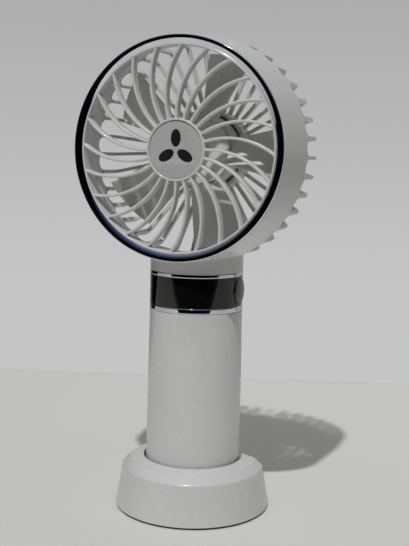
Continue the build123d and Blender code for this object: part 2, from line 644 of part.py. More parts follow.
def frame_screws():
    """Screws that hold the control board to its frame."""
    point = Plane(origin=(0, 0, 0), x_dir=(0, 1, 0), z_dir=(-1, 0, 0)).location
    one = point * screw(1.5, 0.8, 0.8, CONTROL_BOARD_T + FRAME_T - 0.2)
    return Compound(children=[Pos(CONTROL_BOARD_FACE_X, y, z) * one for y, z in frame_screw_places()])


def control_board_parts():
    """Controller chip and capacitors on the control board, and the motor lead's connector behind it."""
    face, low = CONTROL_BOARD_FACE_X, CONTROL_BOARD_Z
    chip = block((face, face + 1.2), (4.2, 8.2), (low + 4, low + 9))
    capacitor = block((face, face + 1.6), (-8.0, -5.4), (low + 6, low + 9))
    connector = block((CONTROL_BOARD_X - 3.4, CONTROL_BOARD_X), (3.4, 6.2), (low + 4.2, low + 9.2))
    return Compound(children=[chip, capacitor, connector])


# ---------------------------------------------------------------- head pieces
def vertex_at(face, x, y):
    """The corner of a flat outline that lies at (x, y)."""
    return face.vertices().filter_by(lambda v: abs(v.X - x) < 0.01 and abs(v.Y - y) < 0.01)


def bar_outline(depth, inner_r, back=0.0):
    """Section of a rear bar as a face in the XZ plane: along the side, round the corner, in over the back."""
    outer = DRUM_R - back
    crown, rear = CROWN_Y - back, REAR_Y - back
    corner = REAR_CORNER_R
    lean = math.atan2(REAR_RISE, DRUM_R - corner - MOTOR_SEAT_R)
    profile = Polygon(
        (outer, DRUM_BACK_Y - 1), (outer, crown), (inner_r, rear),
        (inner_r, rear - depth / math.cos(lean)), (outer - depth, crown - depth),
        (outer - depth, DRUM_BACK_Y - 1), align=None,
    )
    profile = fillet(vertex_at(profile, outer, crown), corner)
    return Plane.XZ * fillet(vertex_at(profile, outer - depth, crown - depth), corner / 2)


def rear_bar(width, depth, inner_r=MOTOR_SEAT_R - 1, back=0.0):
    """One bar of the slotted back, lying in the XZ plane."""
    return extrude(bar_outline(depth, inner_r, back), width / 2, both=True)


def neck_outer(grow=0.0):
    """The neck up to its sloping back, with no hollow in it, in the whole fan's frame."""
    column = rod(HANDLE_TOP_R + grow, NECK_Z, HEAD_Z)
    low_point = NECK_Z + NECK_VISIBLE
    side = HANDLE_TOP_R + grow + 1
    front, back = low_point + NECK_ROOF_FRONT + grow, low_point + NECK_ROOF_BACK + grow
    low = NECK_Z - 1
    outline = [(-side, low), (side, low), (side, back), (DRUM_BACK_Y, front), (-side, front)]
    slope = Plane.YZ * Polygon(*outline, align=None)
    return column & extrude(slope, side, both=True)


def drum_form(inset, front, back):
    """The drum's outer form, or the same form inside its wall, with nothing hollow in it."""
    front_r, back_r = DRUM_FRONT_R - inset, DRUM_R - inset
    cone = [(front_r, SEAM_Y), (back_r, TAPER_END_Y), (back_r, back), (0, back)]
    start = [(0, front)] if front == SEAM_Y else [(0, front), (front_r, front)]
    return turned(start + cone)


def head_housing():
    """Drum, slotted back, motor seat and neck, in one moulding."""
    wall = drum_form(0, SEAM_Y, DRUM_BACK_Y) - drum_form(DRUM_WALL, SEAM_Y - 1, DRUM_BACK_Y + 1)
    end = Plane(origin=(0, 0, DRUM_BACK_Y), x_dir=(0, 1, 0), z_dir=(1, 0, 0)).location
    notch = end * rod(SLOT_END_R, DRUM_BORE_R - 5, DRUM_R + 5)
    wall -= around(notch, REAR_BAR_COUNT, REAR_BAR_FIRST + 180 / REAR_BAR_COUNT)
    bars = around(rear_bar(REAR_BAR_W, REAR_BAR_DEPTH), REAR_BAR_COUNT, REAR_BAR_FIRST)
    arm = Rot(0, 0, 90) * rear_bar(LEAD_ARM_W, LEAD_ARM_DEPTH)
    seat = rod(MOTOR_SEAT_R, MOTOR_SEAT_Y, REAR_Y)
    seat += tube(MOTOR_SEAT_R, MOTOR_SEAT_R - MOTOR_CUP_WALL, MOTOR_CUP_Y, MOTOR_SEAT_Y + 0.5)
    drum = wall + bars + [arm, seat]
    drum -= rod(REAR_CAP_R + 0.1, REAR_Y - REAR_CAP_T, REAR_Y + 5)
    drum -= rod(BEARING_R, MOTOR_SEAT_Y - 1, SHAFT_BACK_Y + 0.5)
    drum -= around(motor_screw_hole(), 3, 30)
    groove = Rot(0, 0, 90) * rear_bar(LEAD_GROOVE_W, LEAD_ARM_DEPTH, MOTOR_SEAT_R + 0.2, LEAD_ARM_SKIN)
    half = LEAD_GROOVE_W / 2
    groove += block((-half, half), (MOTOR_FLANGE_R, MOTOR_SEAT_R + 3), (MOTOR_CUP_Y + 2, MOTOR_SEAT_Y))
    drum = in_head(drum)
    bore = in_head(drum_form(DRUM_WALL, SEAM_Y, DRUM_BACK_Y - 0.5))
    keep_out = in_head(drum_form(0, SEAM_Y, DRUM_R))
    behind = in_head(rod(DRUM_R - REAR_BAR_DEPTH, DRUM_BACK_Y - 1, DRUM_R))
    hollow = rod(HANDLE_BORE_R, NECK_Z - 1, HEAD_Z) & neck_outer(-NECK_WALL)
    hollow += rod(HANDLE_BORE_R, NECK_Z - 1, NECK_Z + SLEEVE_UP + 0.3)
    neck = neck_outer() - bore - behind - (hollow - keep_out)
    housing = drum + neck - in_head(groove)
    return housing - rod(LEAD_R + 0.4, NECK_Z, NECK_Z + NECK_VISIBLE + 13, 0, MOTOR_LEAD_Y)


def motor_screw_hole():
    """Countersunk hole for a motor screw, in the seat."""
    hole = rod(1.1, MOTOR_SEAT_Y - 1, REAR_Y, 9.0)
    return hole + rod(1.9, REAR_Y - REAR_CAP_T - 1.0, REAR_Y, 9.0)


def rear_cap():
    """Round cover over the motor's screws."""
    cap = rod(REAR_CAP_R, REAR_Y - REAR_CAP_T, REAR_Y)
    return in_head(fillet(cap.edges().group_by(Axis.Z)[-1], 0.5))


def front_grille():
    """Bezel, rim, swept ribs and hub of the front, in one moulding."""
    spigot_r = DRUM_FRONT_BORE_R - FIT_GAP
    spigot_end = SEAM_Y + GRILLE_SPIGOT_DEPTH
    rim_r = GRILLE_OPENING_R + GRILLE_RIM_WALL
    rim_end = FACE_Y + GRILLE_LIP_DEPTH
    bezel = turned([
        (GRILLE_OPENING_R, FACE_Y), (CHROME_INNER_R, FACE_Y), (CHROME_INNER_R, CHROME_Y),
        (CHROME_OUTER_R, CHROME_Y), (DRUM_FRONT_R, SEAM_Y), (spigot_r, SEAM_Y), (spigot_r, spigot_end),
        (rim_r, spigot_end), (rim_r, rim_end), (GRILLE_OPENING_R, rim_end),
    ])
    rib_y = FACE_Y + RIB_FRONT_GAP
    ribs = around(extrude(Pos(0, 0, rib_y) * rib_face(), RIB_DEPTH), RIB_COUNT)
    hub = tube(HUB_R, HUB_R - HUB_WALL, FACE_Y, FACE_Y + HUB_DEPTH)
    floor = FACE_Y + HUB_CAP_SETBACK + HUB_CAP_T
    hub += rod(HUB_R, floor, floor + HUB_FLOOR_T)
    return in_head(bezel + ribs + hub)


def rib_face():
    """Plan of one swept rib, from the hub to the rim."""
    start = Vector(HUB_R - HUB_WALL / 2, 0, 0).rotate(Axis.Z, RIB_START)
    end = Vector(GRILLE_OPENING_R + 0.4, 0, 0).rotate(Axis.Z, RIB_START + RIB_SWEEP)
    chord = end - start
    sag = RIB_ARC_R - math.sqrt(RIB_ARC_R ** 2 - (chord.length / 2) ** 2)
    side = Vector(chord.Y, -chord.X, 0).normalized()
    arc = ThreePointArc(start, (start + end) * 0.5 + side * sag, end)
    return trace(arc, RIB_W)


def chrome_ring():
    """Dished chrome ring let into the bezel."""
    low, high = CHROME_INNER_R + 0.05, CHROME_OUTER_R
    inner_edge, crest = FRONT_Y + CHROME_DISH, high - CHROME_EDGE
    middle = (FRONT_Y + inner_edge) / 2 - CHROME_CROWN
    line = Polyline(
        (crest, FRONT_Y), (high, FRONT_Y + CHROME_EDGE), (high, CHROME_Y), (low, CHROME_Y), (low, inner_edge),
    )
    crown = ThreePointArc((low, inner_edge), ((low + crest) / 2, middle), (crest, FRONT_Y))
    return in_head(revolve(Plane.XZ * make_face(line + crown), Axis.Z, 360))


def hub_cap():
    """Round cap in the middle of the front grille."""
    cap = rod(HUB_CAP_R, FACE_Y + HUB_CAP_SETBACK, FACE_Y + HUB_CAP_SETBACK + HUB_CAP_T)
    cap = chamfer(cap.edges().group_by(Axis.Z)[0], 0.25)
    return in_head(cap - hub_mark_shape(MARK_T))


def hub_mark_shape(depth):
    """A plain three-petal propeller sign, set into the cap's face."""
    petal = Pos(MARK_PETAL_R, 0) * Ellipse(MARK_PETAL_LENGTH / 2, MARK_PETAL_WIDTH / 2)
    top = FACE_Y + HUB_CAP_SETBACK
    solids = [extrude(Pos(0, 0, top) * face, depth) for face in around(petal, MARK_PETALS, 30)]
    return Compound(children=solids)


def hub_mark():
    """The dark inlay of the sign."""
    return in_head(hub_mark_shape(MARK_T))


# ---------------------------------------------------------------- motor pieces
def motor_base():
    """Metal flange and bearing tube that carry the motor."""
    flange = tube(MOTOR_FLANGE_R, BEARING_R, FLANGE_Y, MOTOR_SEAT_Y)
    barrel = tube(BEARING_TUBE_R, BEARING_R, FRONT_BEARING_Y - 0.2, FLANGE_Y + 0.2)
    base = flange + barrel
    return in_head(base - around(rod(0.92, FLANGE_Y - 1, MOTOR_SEAT_Y + 1, 9.0), 3, 30))


def motor_screws():
    """Screws from the back of the seat into the motor's flange."""
    forward = Rot(180, 0, 0) * screw(1.7, 0.9, 0.9, MOTOR_SEAT_T + MOTOR_FLANGE_T - 1.2)
    one = Pos(9.0, 0, REAR_Y - REAR_CAP_T - 1.0) * forward
    return in_head(Compound(children=around(one, 3, 30)))


def bearing(front):
    """Sintered bearing pressed into the tube, with running clearance on the shaft."""
    return in_head(tube(BEARING_R, SHAFT_R + BEARING_GAP, front, front + BEARING_T))


def motor_board():
    """Ring-shaped board behind the stator."""
    return in_head(tube(MOTOR_BOARD_R, BEARING_TUBE_R + 0.1, MOTOR_BOARD_Y, MOTOR_BOARD_Y + MOTOR_BOARD_T))


def stator_core():
    """Laminated stator with one tooth and tip for each pole."""
    hub = tube(6.4, BEARING_TUBE_R, STATOR_Y, STATOR_Y + STATOR_T)
    tooth = block((6.0, STATOR_R - 0.8), (-0.9, 0.9), (STATOR_Y, STATOR_Y + STATOR_T))
    tip_ring = tube(STATOR_R, STATOR_R - 1.1, STATOR_Y, STATOR_Y + STATOR_T)
    half = STATOR_R * math.sin(math.radians(150 / POLE_COUNT))
    tip = tip_ring & block((0, STATOR_R), (-half, half), (STATOR_Y, STATOR_Y + STATOR_T))
    return in_head(hub + around(tooth + tip, POLE_COUNT))


def stator_windings():
    """One copper coil round each tooth."""
    low, high = STATOR_Y - COIL_OVERHANG, STATOR_Y + STATOR_T + COIL_OVERHANG
    coil = block((7.0, STATOR_R - 1.4), (-1.9, 1.9), (low, high))
    coil = fillet(coil.edges().filter_by(Axis.X), 0.8)
    coil -= block((5, STATOR_R), (-0.92, 0.92), (STATOR_Y - 0.02, STATOR_Y + STATOR_T + 0.02))
    return in_head(Compound(children=around(coil, POLE_COUNT)))


def rotor_cup():
    """Pressed steel cup on the shaft."""
    cup = rod(ROTOR_R, ROTOR_FRONT_Y, ROTOR_BACK_Y)
    cup -= rod(MAGNET_R, ROTOR_FRONT_Y + ROTOR_WALL, ROTOR_BACK_Y + 1)
    return in_head(cup - rod(SHAFT_R, ROTOR_FRONT_Y - 1, ROTOR_FRONT_Y + 5))


def magnet_ring():
    """Ring magnet inside the rotor cup."""
    return in_head(tube(MAGNET_R, MAGNET_R - MAGNET_T, MAGNET_Y, MAGNET_Y + MAGNET_LENGTH))


def motor_shaft():
    """Shaft with a groove for its clip."""
    groove = tube(SHAFT_R + 1, 0.8, SHAFT_BACK_Y - 1.5, SHAFT_BACK_Y - 1.0)
    return in_head(rod(SHAFT_R, ROTOR_FRONT_Y, SHAFT_BACK_Y) - groove)


def shaft_clip():
    """Snap ring that keeps the shaft in its bearings."""
    ring = tube(2.3, 0.82, SHAFT_BACK_Y - 1.45, SHAFT_BACK_Y - 1.05)
    return in_head(ring - block((0, 3), (-0.6, 0.6), (SHAFT_BACK_Y - 2, SHAFT_BACK_Y)))


def blade_section(radius, chord, pitch):
    """Cross-section of a blade on a plane across its span."""
    place = Plane(origin=(radius, 0, BLADE_MID_Y), x_dir=(0, 1, 0), z_dir=(1, 0, 0))
    return place * (Rot(0, 0, -pitch) * SlotOverall(chord, BLADE_T))


def impeller():
    """Translucent hub cap and twisted blades."""
    front = ROTOR_FRONT_Y - 0.05
    hub = rod(IMPELLER_HUB_R, front - IMPELLER_NOSE, IMPELLER_BACK_Y)
    hub = fillet(hub.edges().group_by(Axis.Z)[0], IMPELLER_NOSE * 0.8)
    blade = loft([
        blade_section(IMPELLER_BORE_R + IMPELLER_WALL / 3, BLADE_ROOT_CHORD, BLADE_ROOT_PITCH),
        blade_section((IMPELLER_HUB_R + BLADE_TIP_R) / 2, (BLADE_ROOT_CHORD + BLADE_TIP_CHORD) / 2,
                      (BLADE_ROOT_PITCH + BLADE_TIP_PITCH) / 2),
        blade_section(BLADE_TIP_R + 3, BLADE_TIP_CHORD, BLADE_TIP_PITCH),
    ])
    blade &= rod(BLADE_TIP_R, -40, 20)
    body = hub + around(blade, BLADE_COUNT)
    return in_head(body - rod(IMPELLER_BORE_R, front, 40))


def motor_lead():
    """Lead from the control board's connector, through the neck and the wide bar, to the motor board."""
    low = CONTROL_BOARD_Z + 9.2
    rise = NECK_Z + NECK_VISIBLE
    board_edge = HEAD_Z - MOTOR_BOARD_R
    run_y = MOTOR_BOARD_Y + MOTOR_BOARD_T / 2
    connector_x, connector_y = CONTROL_BOARD_X - 1.7, 4.8
    points = [
        (connector_x, connector_y, low), (connector_x, connector_y, low + 1.6), (0, MOTOR_LEAD_Y, low + 5.0),
        (0, MOTOR_LEAD_Y, rise + 7.0), (0, run_y + 1.4, board_edge - 8.5), (0, run_y, board_edge - 5.0),
        (0, run_y, board_edge),
    ]
    return lead(points, (1.2, 2.5, 6, 3, 3))


NODES = {
    "base_shell": base_shell,
    "base_plate": base_plate,
    "ballast_disc": ballast_disc,
    "foot_ring": foot_ring,
    "base_screws": base_screws,
    "handle_tube": handle_tube,
    "handle_bottom_cap": handle_bottom_cap,
    "cap_screws": cap_screws,
    "charging_board": charging_board,
    "charging_board_parts": charging_board_parts,
    "charging_socket": charging_socket,
    "socket_tongue": socket_tongue,
    "charge_light_lens": charge_light_lens,
    "cell": cell,
    "cell_insulator": cell_insulator,
    "cell_tabs": cell_tabs,
    "cell_cradle": cell_cradle,
    "charge_lead": charge_lead,
    "cell_lead": cell_lead,
    "lower_trim_ring": lower_trim_ring,
    "neck_band": neck_band,
    "upper_trim_ring": upper_trim_ring,
    "neck_sleeve": neck_sleeve,
    "power_button": power_button,
    "switch_plunger": switch_plunger,
    "switch_body": switch_body,
    "control_board": control_board,
    "board_frame": board_frame,
    "frame_screws": frame_screws,
    "control_board_parts": control_board_parts,
    "head_housing": head_housing,
    "rear_cap": rear_cap,
    "front_grille": front_grille,
    "chrome_ring": chrome_ring,
    "hub_cap": hub_cap,
    "hub_mark": hub_mark,
    "motor_base": motor_base,
    "motor_screws": motor_screws,
    "front_bearing": lambda: bearing(FRONT_BEARING_Y),
    "rear_bearing": lambda: bearing(REAR_BEARING_Y),
    "motor_board": motor_board,
    "stator_core": stator_core,
    "stator_windings": stator_windings,
    "motor_lead": motor_lead,
    "rotor_cup": rotor_cup,
    "magnet_ring": magnet_ring,
    "motor_shaft": motor_shaft,
    "shaft_clip": shaft_clip,
    "impeller": impeller,
}

for node, build in NODES.items():
    export_step(build(), f"parts/{node}.step")
print(f"{len(NODES)} nodes written")
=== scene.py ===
"""Looks of a handheld electric fan that stands in its round base.

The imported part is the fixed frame, and every size and place comes from it. Each sub-assembly is a class that
reads its main sizes from the frame, holds its own small sizes as fields, builds its meshes and dresses them.
Lengths are in metres. Pieces of the head are drawn about their own Z axis, front to back, and then placed.
"""

from __future__ import annotations

import logging
import math
from dataclasses import dataclass
from enum import Enum

import bmesh
import bpy
from mathutils import Matrix, Vector
from mathutils.bvhtree import BVHTree
from mathutils.geometry import barycentric_transform

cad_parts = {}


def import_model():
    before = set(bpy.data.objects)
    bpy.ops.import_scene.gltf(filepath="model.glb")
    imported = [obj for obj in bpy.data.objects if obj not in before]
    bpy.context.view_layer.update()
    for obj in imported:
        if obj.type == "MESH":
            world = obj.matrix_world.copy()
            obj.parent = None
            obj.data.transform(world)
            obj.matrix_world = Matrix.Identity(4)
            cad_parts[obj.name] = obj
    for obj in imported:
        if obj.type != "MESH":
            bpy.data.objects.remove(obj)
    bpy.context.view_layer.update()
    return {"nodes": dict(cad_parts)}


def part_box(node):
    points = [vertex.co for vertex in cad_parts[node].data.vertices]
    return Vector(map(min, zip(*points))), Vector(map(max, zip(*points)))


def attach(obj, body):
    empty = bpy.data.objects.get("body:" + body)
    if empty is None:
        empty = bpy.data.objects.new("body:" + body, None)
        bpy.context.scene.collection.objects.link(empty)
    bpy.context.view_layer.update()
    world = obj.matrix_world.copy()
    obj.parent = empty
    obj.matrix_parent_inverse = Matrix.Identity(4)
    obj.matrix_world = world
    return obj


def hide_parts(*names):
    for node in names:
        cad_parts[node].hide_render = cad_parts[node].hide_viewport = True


LOG = logging.getLogger("fan")
MM = 0.001
TURN = 2 * math.pi
SEGMENTS = 192
SMOOTH_ANGLE = math.radians(38)
FLAT_ANGLE = math.radians(0.4)
DOUBLES = 0.002 * MM      # corners closer than this are one
SAME_PLACE = 0.003 * MM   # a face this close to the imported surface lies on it
SAME_WAY = 0.98           # and so does its normal, as a cosine
NEAR_WAY = 0.8            # an exact normal that leans further is of another face
INWARD = 0.02             # how far into its face a corner is looked up

Outline = list[tuple[float, float]]
Colour = tuple[float, float, float]
Pair = tuple[float, float]


class Body(Enum):
    """The rigid bodies that pieces ride on."""

    BASE = "base"
    FAN = "fan"
    BUTTON = "button"
    ROTOR = "rotor"


class Surface(Enum):
    """How a metal surface was finished."""

    POLISHED = "polished"
    TURNED = "turned"
    ROLLED = "rolled"


# ---------------------------------------------------------------- shader building
class Shader:
    """The nodes of one material, round a Principled shader."""

    def __init__(self, name: str, colour: Colour, roughness: float, **constants: float) -> None:
        """Starts a material.

        Args:
            name: The material's name, which is its slot's name in the record.
            colour: Base colour, linear.
            roughness: Roughness before it is varied.
            constants: Further values for the shader's own sockets, with underscores for spaces.
        """
        self.material = bpy.data.materials.new(name)
        self.material.use_nodes = True
        self.tree = self.material.node_tree
        self.surface = self.tree.nodes["Principled BSDF"]
        self.colour = colour
        self.roughness = roughness
        self.surface.inputs["Base Color"].default_value = (*colour, 1.0)
        self.surface.inputs["Roughness"].default_value = roughness
        for socket, value in constants.items():
            self.surface.inputs[socket.replace("_", " ")].default_value = value
        self.place = self.tree.nodes.new("ShaderNodeTexCoord").outputs["Object"]
        self.height = None

    def node(self, kind: str, links: dict[str, object], **settings: object) -> bpy.types.Node:
        """Adds a node.

        Args:
            kind: The node's type.
            links: Value or socket for each input, by the input's name.
            settings: Properties of the node.

        Returns:
            The new node.
        """
        node = self.tree.nodes.new(kind)
        for key, value in settings.items():
            setattr(node, key, value)
        for key, value in links.items():
            if isinstance(value, bpy.types.NodeSocket):
                self.tree.links.new(value, node.inputs[key])
            else:
                node.inputs[key].default_value = value
        return node

    def noise(self, size: float, detail: float = 3.0, stretch: Colour = (1, 1, 1)) -> bpy.types.NodeSocket:
        """Adds a soft random pattern.

        Args:
            size: Width of the pattern's spots.
            detail: How many finer layers it has.
            stretch: Scale along each axis, under 1 to draw the spots out.

        Returns:
            The pattern, from 0 to 1.
        """
        place = self.node("ShaderNodeMapping", {"Vector": self.place, "Scale": stretch}).outputs["Vector"]
        links = {"Vector": place, "Scale": 1 / size, "Detail": detail}
        return self.node("ShaderNodeTexNoise", links).outputs["Fac"]

    def spread(self, pattern: bpy.types.NodeSocket, low: float, high: float) -> bpy.types.NodeSocket:
        """Maps the middle of a random pattern onto a range.

        Args:
            pattern: A pattern from 0 to 1 that seldom leaves its middle.
            low: Result at the pattern's low end.
            high: Result at its high end.

        Returns:
            The mapped pattern.
        """
        links = {"Value": pattern, "From Min": 0.3, "From Max": 0.7, "To Min": low, "To Max": high}
        return self.node("ShaderNodeMapRange", links).outputs["Result"]

    def vary_roughness(self, pattern: bpy.types.NodeSocket, amount: float) -> None:
        """Lets the roughness wander by amount either way."""
        varied = self.spread(pattern, max(0.01, self.roughness - amount), self.roughness + amount)
        self.tree.links.new(varied, self.surface.inputs["Roughness"])

    def vary_colour(self, pattern: bpy.types.NodeSocket, other: Colour, share: float = 1.0) -> None:
        """Lets the colour wander towards another one.

        Args:
            pattern: Where the other colour shows.
            other: The other colour, linear.
            share: How much of it shows at the pattern's high end.
        """
        mix = self.tree.nodes.new("ShaderNodeMix")
        mix.data_type = "RGBA"
        self.tree.links.new(self.spread(pattern, 0.0, share), mix.inputs[0])
        mix.inputs[6].default_value = (*self.colour, 1.0)
        mix.inputs[7].default_value = (*other, 1.0)
        self.tree.links.new(mix.outputs[2], self.surface.inputs["Base Color"])

    def raise_surface(self, pattern: bpy.types.NodeSocket, depth: float) -> None:
        """Adds relief on top of any relief that is there.

        Args:
            pattern: Height of the relief, from 0 to 1.
            depth: Height in metres at 1.
        """
        links = {"Height": pattern, "Distance": depth, "Strength": 1.0}
        if self.height is not None:
            links["Normal"] = self.height
        self.height = self.node("ShaderNodeBump", links).outputs["Normal"]
        self.tree.links.new(self.height, self.surface.inputs["Normal"])


# ---------------------------------------------------------------- finishes
@dataclass(frozen=True)
class MouldedPlastic:
    """Injection-moulded plastic with a fine spark-eroded texture."""

    name: str
    colour: Colour
    roughness: float = 0.36
    texture_size: float = 0.35 * MM
    texture_depth: float = 0.002 * MM
    specular: float = 0.5
    coat: float = 0.0
    scatter: float = 0.0

    def make(self) -> bpy.types.Material:
        """Builds the material."""
        shader = Shader(
            self.name, self.colour, self.roughness, Specular_IOR_Level=self.specular, Coat_Weight=self.coat,
            Coat_Roughness=0.08, Subsurface_Weight=self.scatter, Subsurface_Scale=1.2 * MM,
        )
        worn = tuple(channel * 0.955 for channel in self.colour)
        shader.vary_colour(shader.noise(26 * MM, 4.0), worn)
        shader.vary_roughness(shader.noise(5 * MM, 5.0), 0.05)
        shader.raise_surface(shader.noise(self.texture_size, 1.0), self.texture_depth)
        shader.raise_surface(shader.noise(16 * MM, 1.0), 0.012 * MM)
        return shader.material


@dataclass(frozen=True)
class MilkyPlastic:
    """Milky polypropylene with faint flow marks under a soft gloss."""

    name: str
    colour: Colour
    roughness: float = 0.3
    gloss: float = 0.3

    def make(self) -> bpy.types.Material:
        """Builds the material."""
        shader = Shader(
            self.name, self.colour, self.roughness, IOR=1.49, Coat_Weight=self.gloss, Coat_Roughness=0.1,
        )
        flow = shader.noise(9 * MM, 3.0, (1.0, 0.35, 1.0))
        shader.vary_colour(flow, tuple(channel * 0.93 for channel in self.colour))
        shader.vary_roughness(shader.noise(3 * MM, 4.0), 0.06)
        shader.raise_surface(shader.noise(6 * MM, 2.0), 0.03 * MM)
        return shader.material


@dataclass(frozen=True)
class Metal:
    """Bare or plated metal, polished, turned on a lathe or rolled."""

    name: str
    colour: Colour
    roughness: float
    surface: Surface = Surface.POLISHED

    def make(self) -> bpy.types.Material:
        """Builds the material."""
        shader = Shader(self.name, self.colour, self.roughness, Metallic=1.0)
        dull = tuple(channel * 0.85 for channel in self.colour)
        shader.vary_colour(shader.noise(8 * MM, 5.0), dull)
        if self.surface is Surface.POLISHED:
            shader.vary_roughness(shader.noise(2 * MM, 4.0), self.roughness * 0.5)
            shader.raise_surface(shader.noise(9 * MM, 1.0), 0.004 * MM)
        elif self.surface is Surface.TURNED:
            shader.vary_roughness(shader.noise(0.6 * MM, 2.0, (1.0, 6.0, 1.0)), self.roughness * 0.3)
            shader.raise_surface(shader.noise(0.5 * MM, 1.0, (0.2, 4.0, 0.2)), 0.008 * MM)
        else:
            shader.vary_roughness(shader.noise(0.8 * MM, 3.0, (1.0, 1.0, 0.1)), self.roughness * 0.35)
            shader.raise_surface(shader.noise(0.4 * MM, 2.0, (1.0, 1.0, 0.1)), 0.006 * MM)
        return shader.material


@dataclass(frozen=True)
class Lacquer:
    """A smooth hard gloss, as on moulded gloss black or a coated circuit board."""

    name: str
    colour: Colour
    roughness: float = 0.12
    coat: float = 1.0

    def make(self) -> bpy.types.Material:
        """Builds the material."""
        shader = Shader(self.name, self.colour, self.roughness, Coat_Weight=self.coat, Coat_Roughness=0.03)
        shader.vary_colour(shader.noise(6 * MM, 4.0), tuple(channel * 1.25 for channel in self.colour))
        shader.vary_roughness(shader.noise(1.5 * MM, 5.0), self.roughness * 0.4)
        shader.raise_surface(shader.noise(11 * MM, 1.0), 0.01 * MM)
        return shader.material


@dataclass(frozen=True)
class Rubber:
    """Matt elastomer with a dusty, faintly pitted skin."""

    name: str
    colour: Colour
    roughness: float = 0.75

    def make(self) -> bpy.types.Material:
        """Builds the material."""
        shader = Shader(self.name, self.colour, self.roughness, Specular_IOR_Level=0.3)
        shader.vary_colour(shader.noise(4 * MM, 5.0), tuple(channel * 2.0 + 0.01 for channel in self.colour))
        shader.vary_roughness(shader.noise(1.2 * MM, 4.0), 0.12)
        shader.raise_surface(shader.noise(0.3 * MM, 2.0), 0.02 * MM)
        return shader.material


@dataclass(frozen=True)
class ClearPlastic:
    """Clear polycarbonate with faint flow marks."""

    name: str
    colour: Colour
    roughness: float = 0.08

    def make(self) -> bpy.types.Material:
        """Builds the material."""
        shader = Shader(self.name, self.colour, self.roughness, IOR=1.58, Transmission_Weight=0.9)
        shader.vary_colour(shader.noise(2 * MM, 2.0), tuple(channel * 0.9 for channel in self.colour))
        shader.vary_roughness(shader.noise(0.8 * MM, 3.0), 0.04)
        return shader.material


FINISHES = (
    MouldedPlastic("white_shell", (0.72, 0.72, 0.71), roughness=0.3, scatter=0.05, coat=0.35),
    MouldedPlastic("white_inner", (0.74, 0.735, 0.72), roughness=0.5),
    MilkyPlastic("translucent_white", (0.80, 0.80, 0.775)),
    MouldedPlastic("hub_silver", (0.53, 0.535, 0.51), roughness=0.3, coat=0.35),
    Metal("chrome_trim", (0.80, 0.81, 0.83), 0.045),
    Lacquer("gloss_black", (0.003, 0.003, 0.0035), roughness=0.08, coat=0.3),
    MouldedPlastic("button_black", (0.012, 0.012, 0.013), roughness=0.3, coat=0.4),
    MouldedPlastic("mark_black", (0.012, 0.012, 0.014), roughness=0.35),
    Rubber("foot_rubber", (0.012, 0.012, 0.012)),
    Metal("ballast_steel", (0.42, 0.41, 0.40), 0.42, Surface.ROLLED),
    Metal("screw_steel", (0.50, 0.50, 0.51), 0.3, Surface.TURNED),
    Lacquer("board_green", (0.012, 0.09, 0.03), roughness=0.3, coat=0.5),
    MouldedPlastic("component_black", (0.02, 0.02, 0.021), roughness=0.5),
    Metal("socket_steel", (0.60, 0.60, 0.61), 0.22, Surface.ROLLED),
    MouldedPlastic("tongue_black", (0.014, 0.014, 0.015), roughness=0.45),
    ClearPlastic("lens_clear", (0.92, 0.94, 0.94)),
    MouldedPlastic("cell_wrap", (0.05, 0.16, 0.36), roughness=0.28, coat=0.3),
    Rubber("insulator_paper", (0.62, 0.60, 0.54), roughness=0.85),
    Metal("nickel", (0.62, 0.60, 0.56), 0.3, Surface.ROLLED),
    Rubber("lead_sheath", (0.30, 0.012, 0.010), roughness=0.5),
    MouldedPlastic("switch_black", (0.02, 0.02, 0.02), roughness=0.45),
    Metal("motor_metal", (0.55, 0.55, 0.56), 0.32, Surface.TURNED),
    Metal("bearing_bronze", (0.45, 0.27, 0.11), 0.4, Surface.TURNED),
    Metal("stator_steel", (0.30, 0.30, 0.31), 0.4, Surface.ROLLED),
    Metal("copper", (0.62, 0.26, 0.12), 0.28, Surface.TURNED),
    Metal("rotor_steel", (0.46, 0.46, 0.47), 0.3, Surface.TURNED),
    MouldedPlastic("magnet", (0.05, 0.05, 0.055), roughness=0.6),
)


class Palette:
    """Every finish, by the name of its slot in the record."""

    def __init__(self) -> None:
        """Makes each material once."""
        self.materials = {finish.name: finish.make() for finish in FINISHES}

    def __getitem__(self, slot: str) -> bpy.types.Material:
        """The material of a slot."""
        return self.materials[slot]

    def dress_frame(self, nodes: dict[str, bpy.types.Object]) -> None:
        """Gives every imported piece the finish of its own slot.

        Args:
            nodes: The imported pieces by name.
        """
        for piece in nodes.values():
            for slot in piece.material_slots:
                slot.material = self.materials[slot.material.name.split(".")[0]]


# ---------------------------------------------------------------- mesh building
def arc(centre: tuple[float, float], radius: float, first: float, last: float, steps: int) -> Outline:
    """Points along an arc.

    Args:
        centre: Middle of the circle.
        radius: Its radius.
        first: Angle of the first point, in degrees.
        last: Angle of the last point.
        steps: How many points there are.

    Returns:
        The points in order.
    """
    angles = [math.radians(first + (last - first) * i / (steps - 1)) for i in range(steps)]
    return [(centre[0] + radius * math.cos(a), centre[1] + radius * math.sin(a)) for a in angles]


def rounded(corners: list[tuple[float, float, float]], steps: int = 5) -> Outline:
    """Rounds the corners of a closed outline.

    Args:
        corners: Each corner's two coordinates and the radius of its rounding, 0 for a sharp one.
        steps: Points in each rounding.

    Returns:
        The rounded outline.
    """
    outline = []
    for i, (x, y, radius) in enumerate(corners):
        corner = Vector((x, y))
        if radius == 0:
            outline.append((x, y))
            continue
        before = (Vector(corners[i - 1][:2]) - corner).normalized()
        after = (Vector(corners[(i + 1) % len(corners)][:2]) - corner).normalized()
        half = before.angle(after) / 2
        centre = corner + (before + after).normalized() * radius / math.sin(half)
        start = corner + before * radius / math.tan(half) - centre
        end = corner + after * radius / math.tan(half) - centre
        for step in range(steps):
            outline.append(tuple(centre + start.slerp(end, step / (steps - 1)) * radius))
    return outline


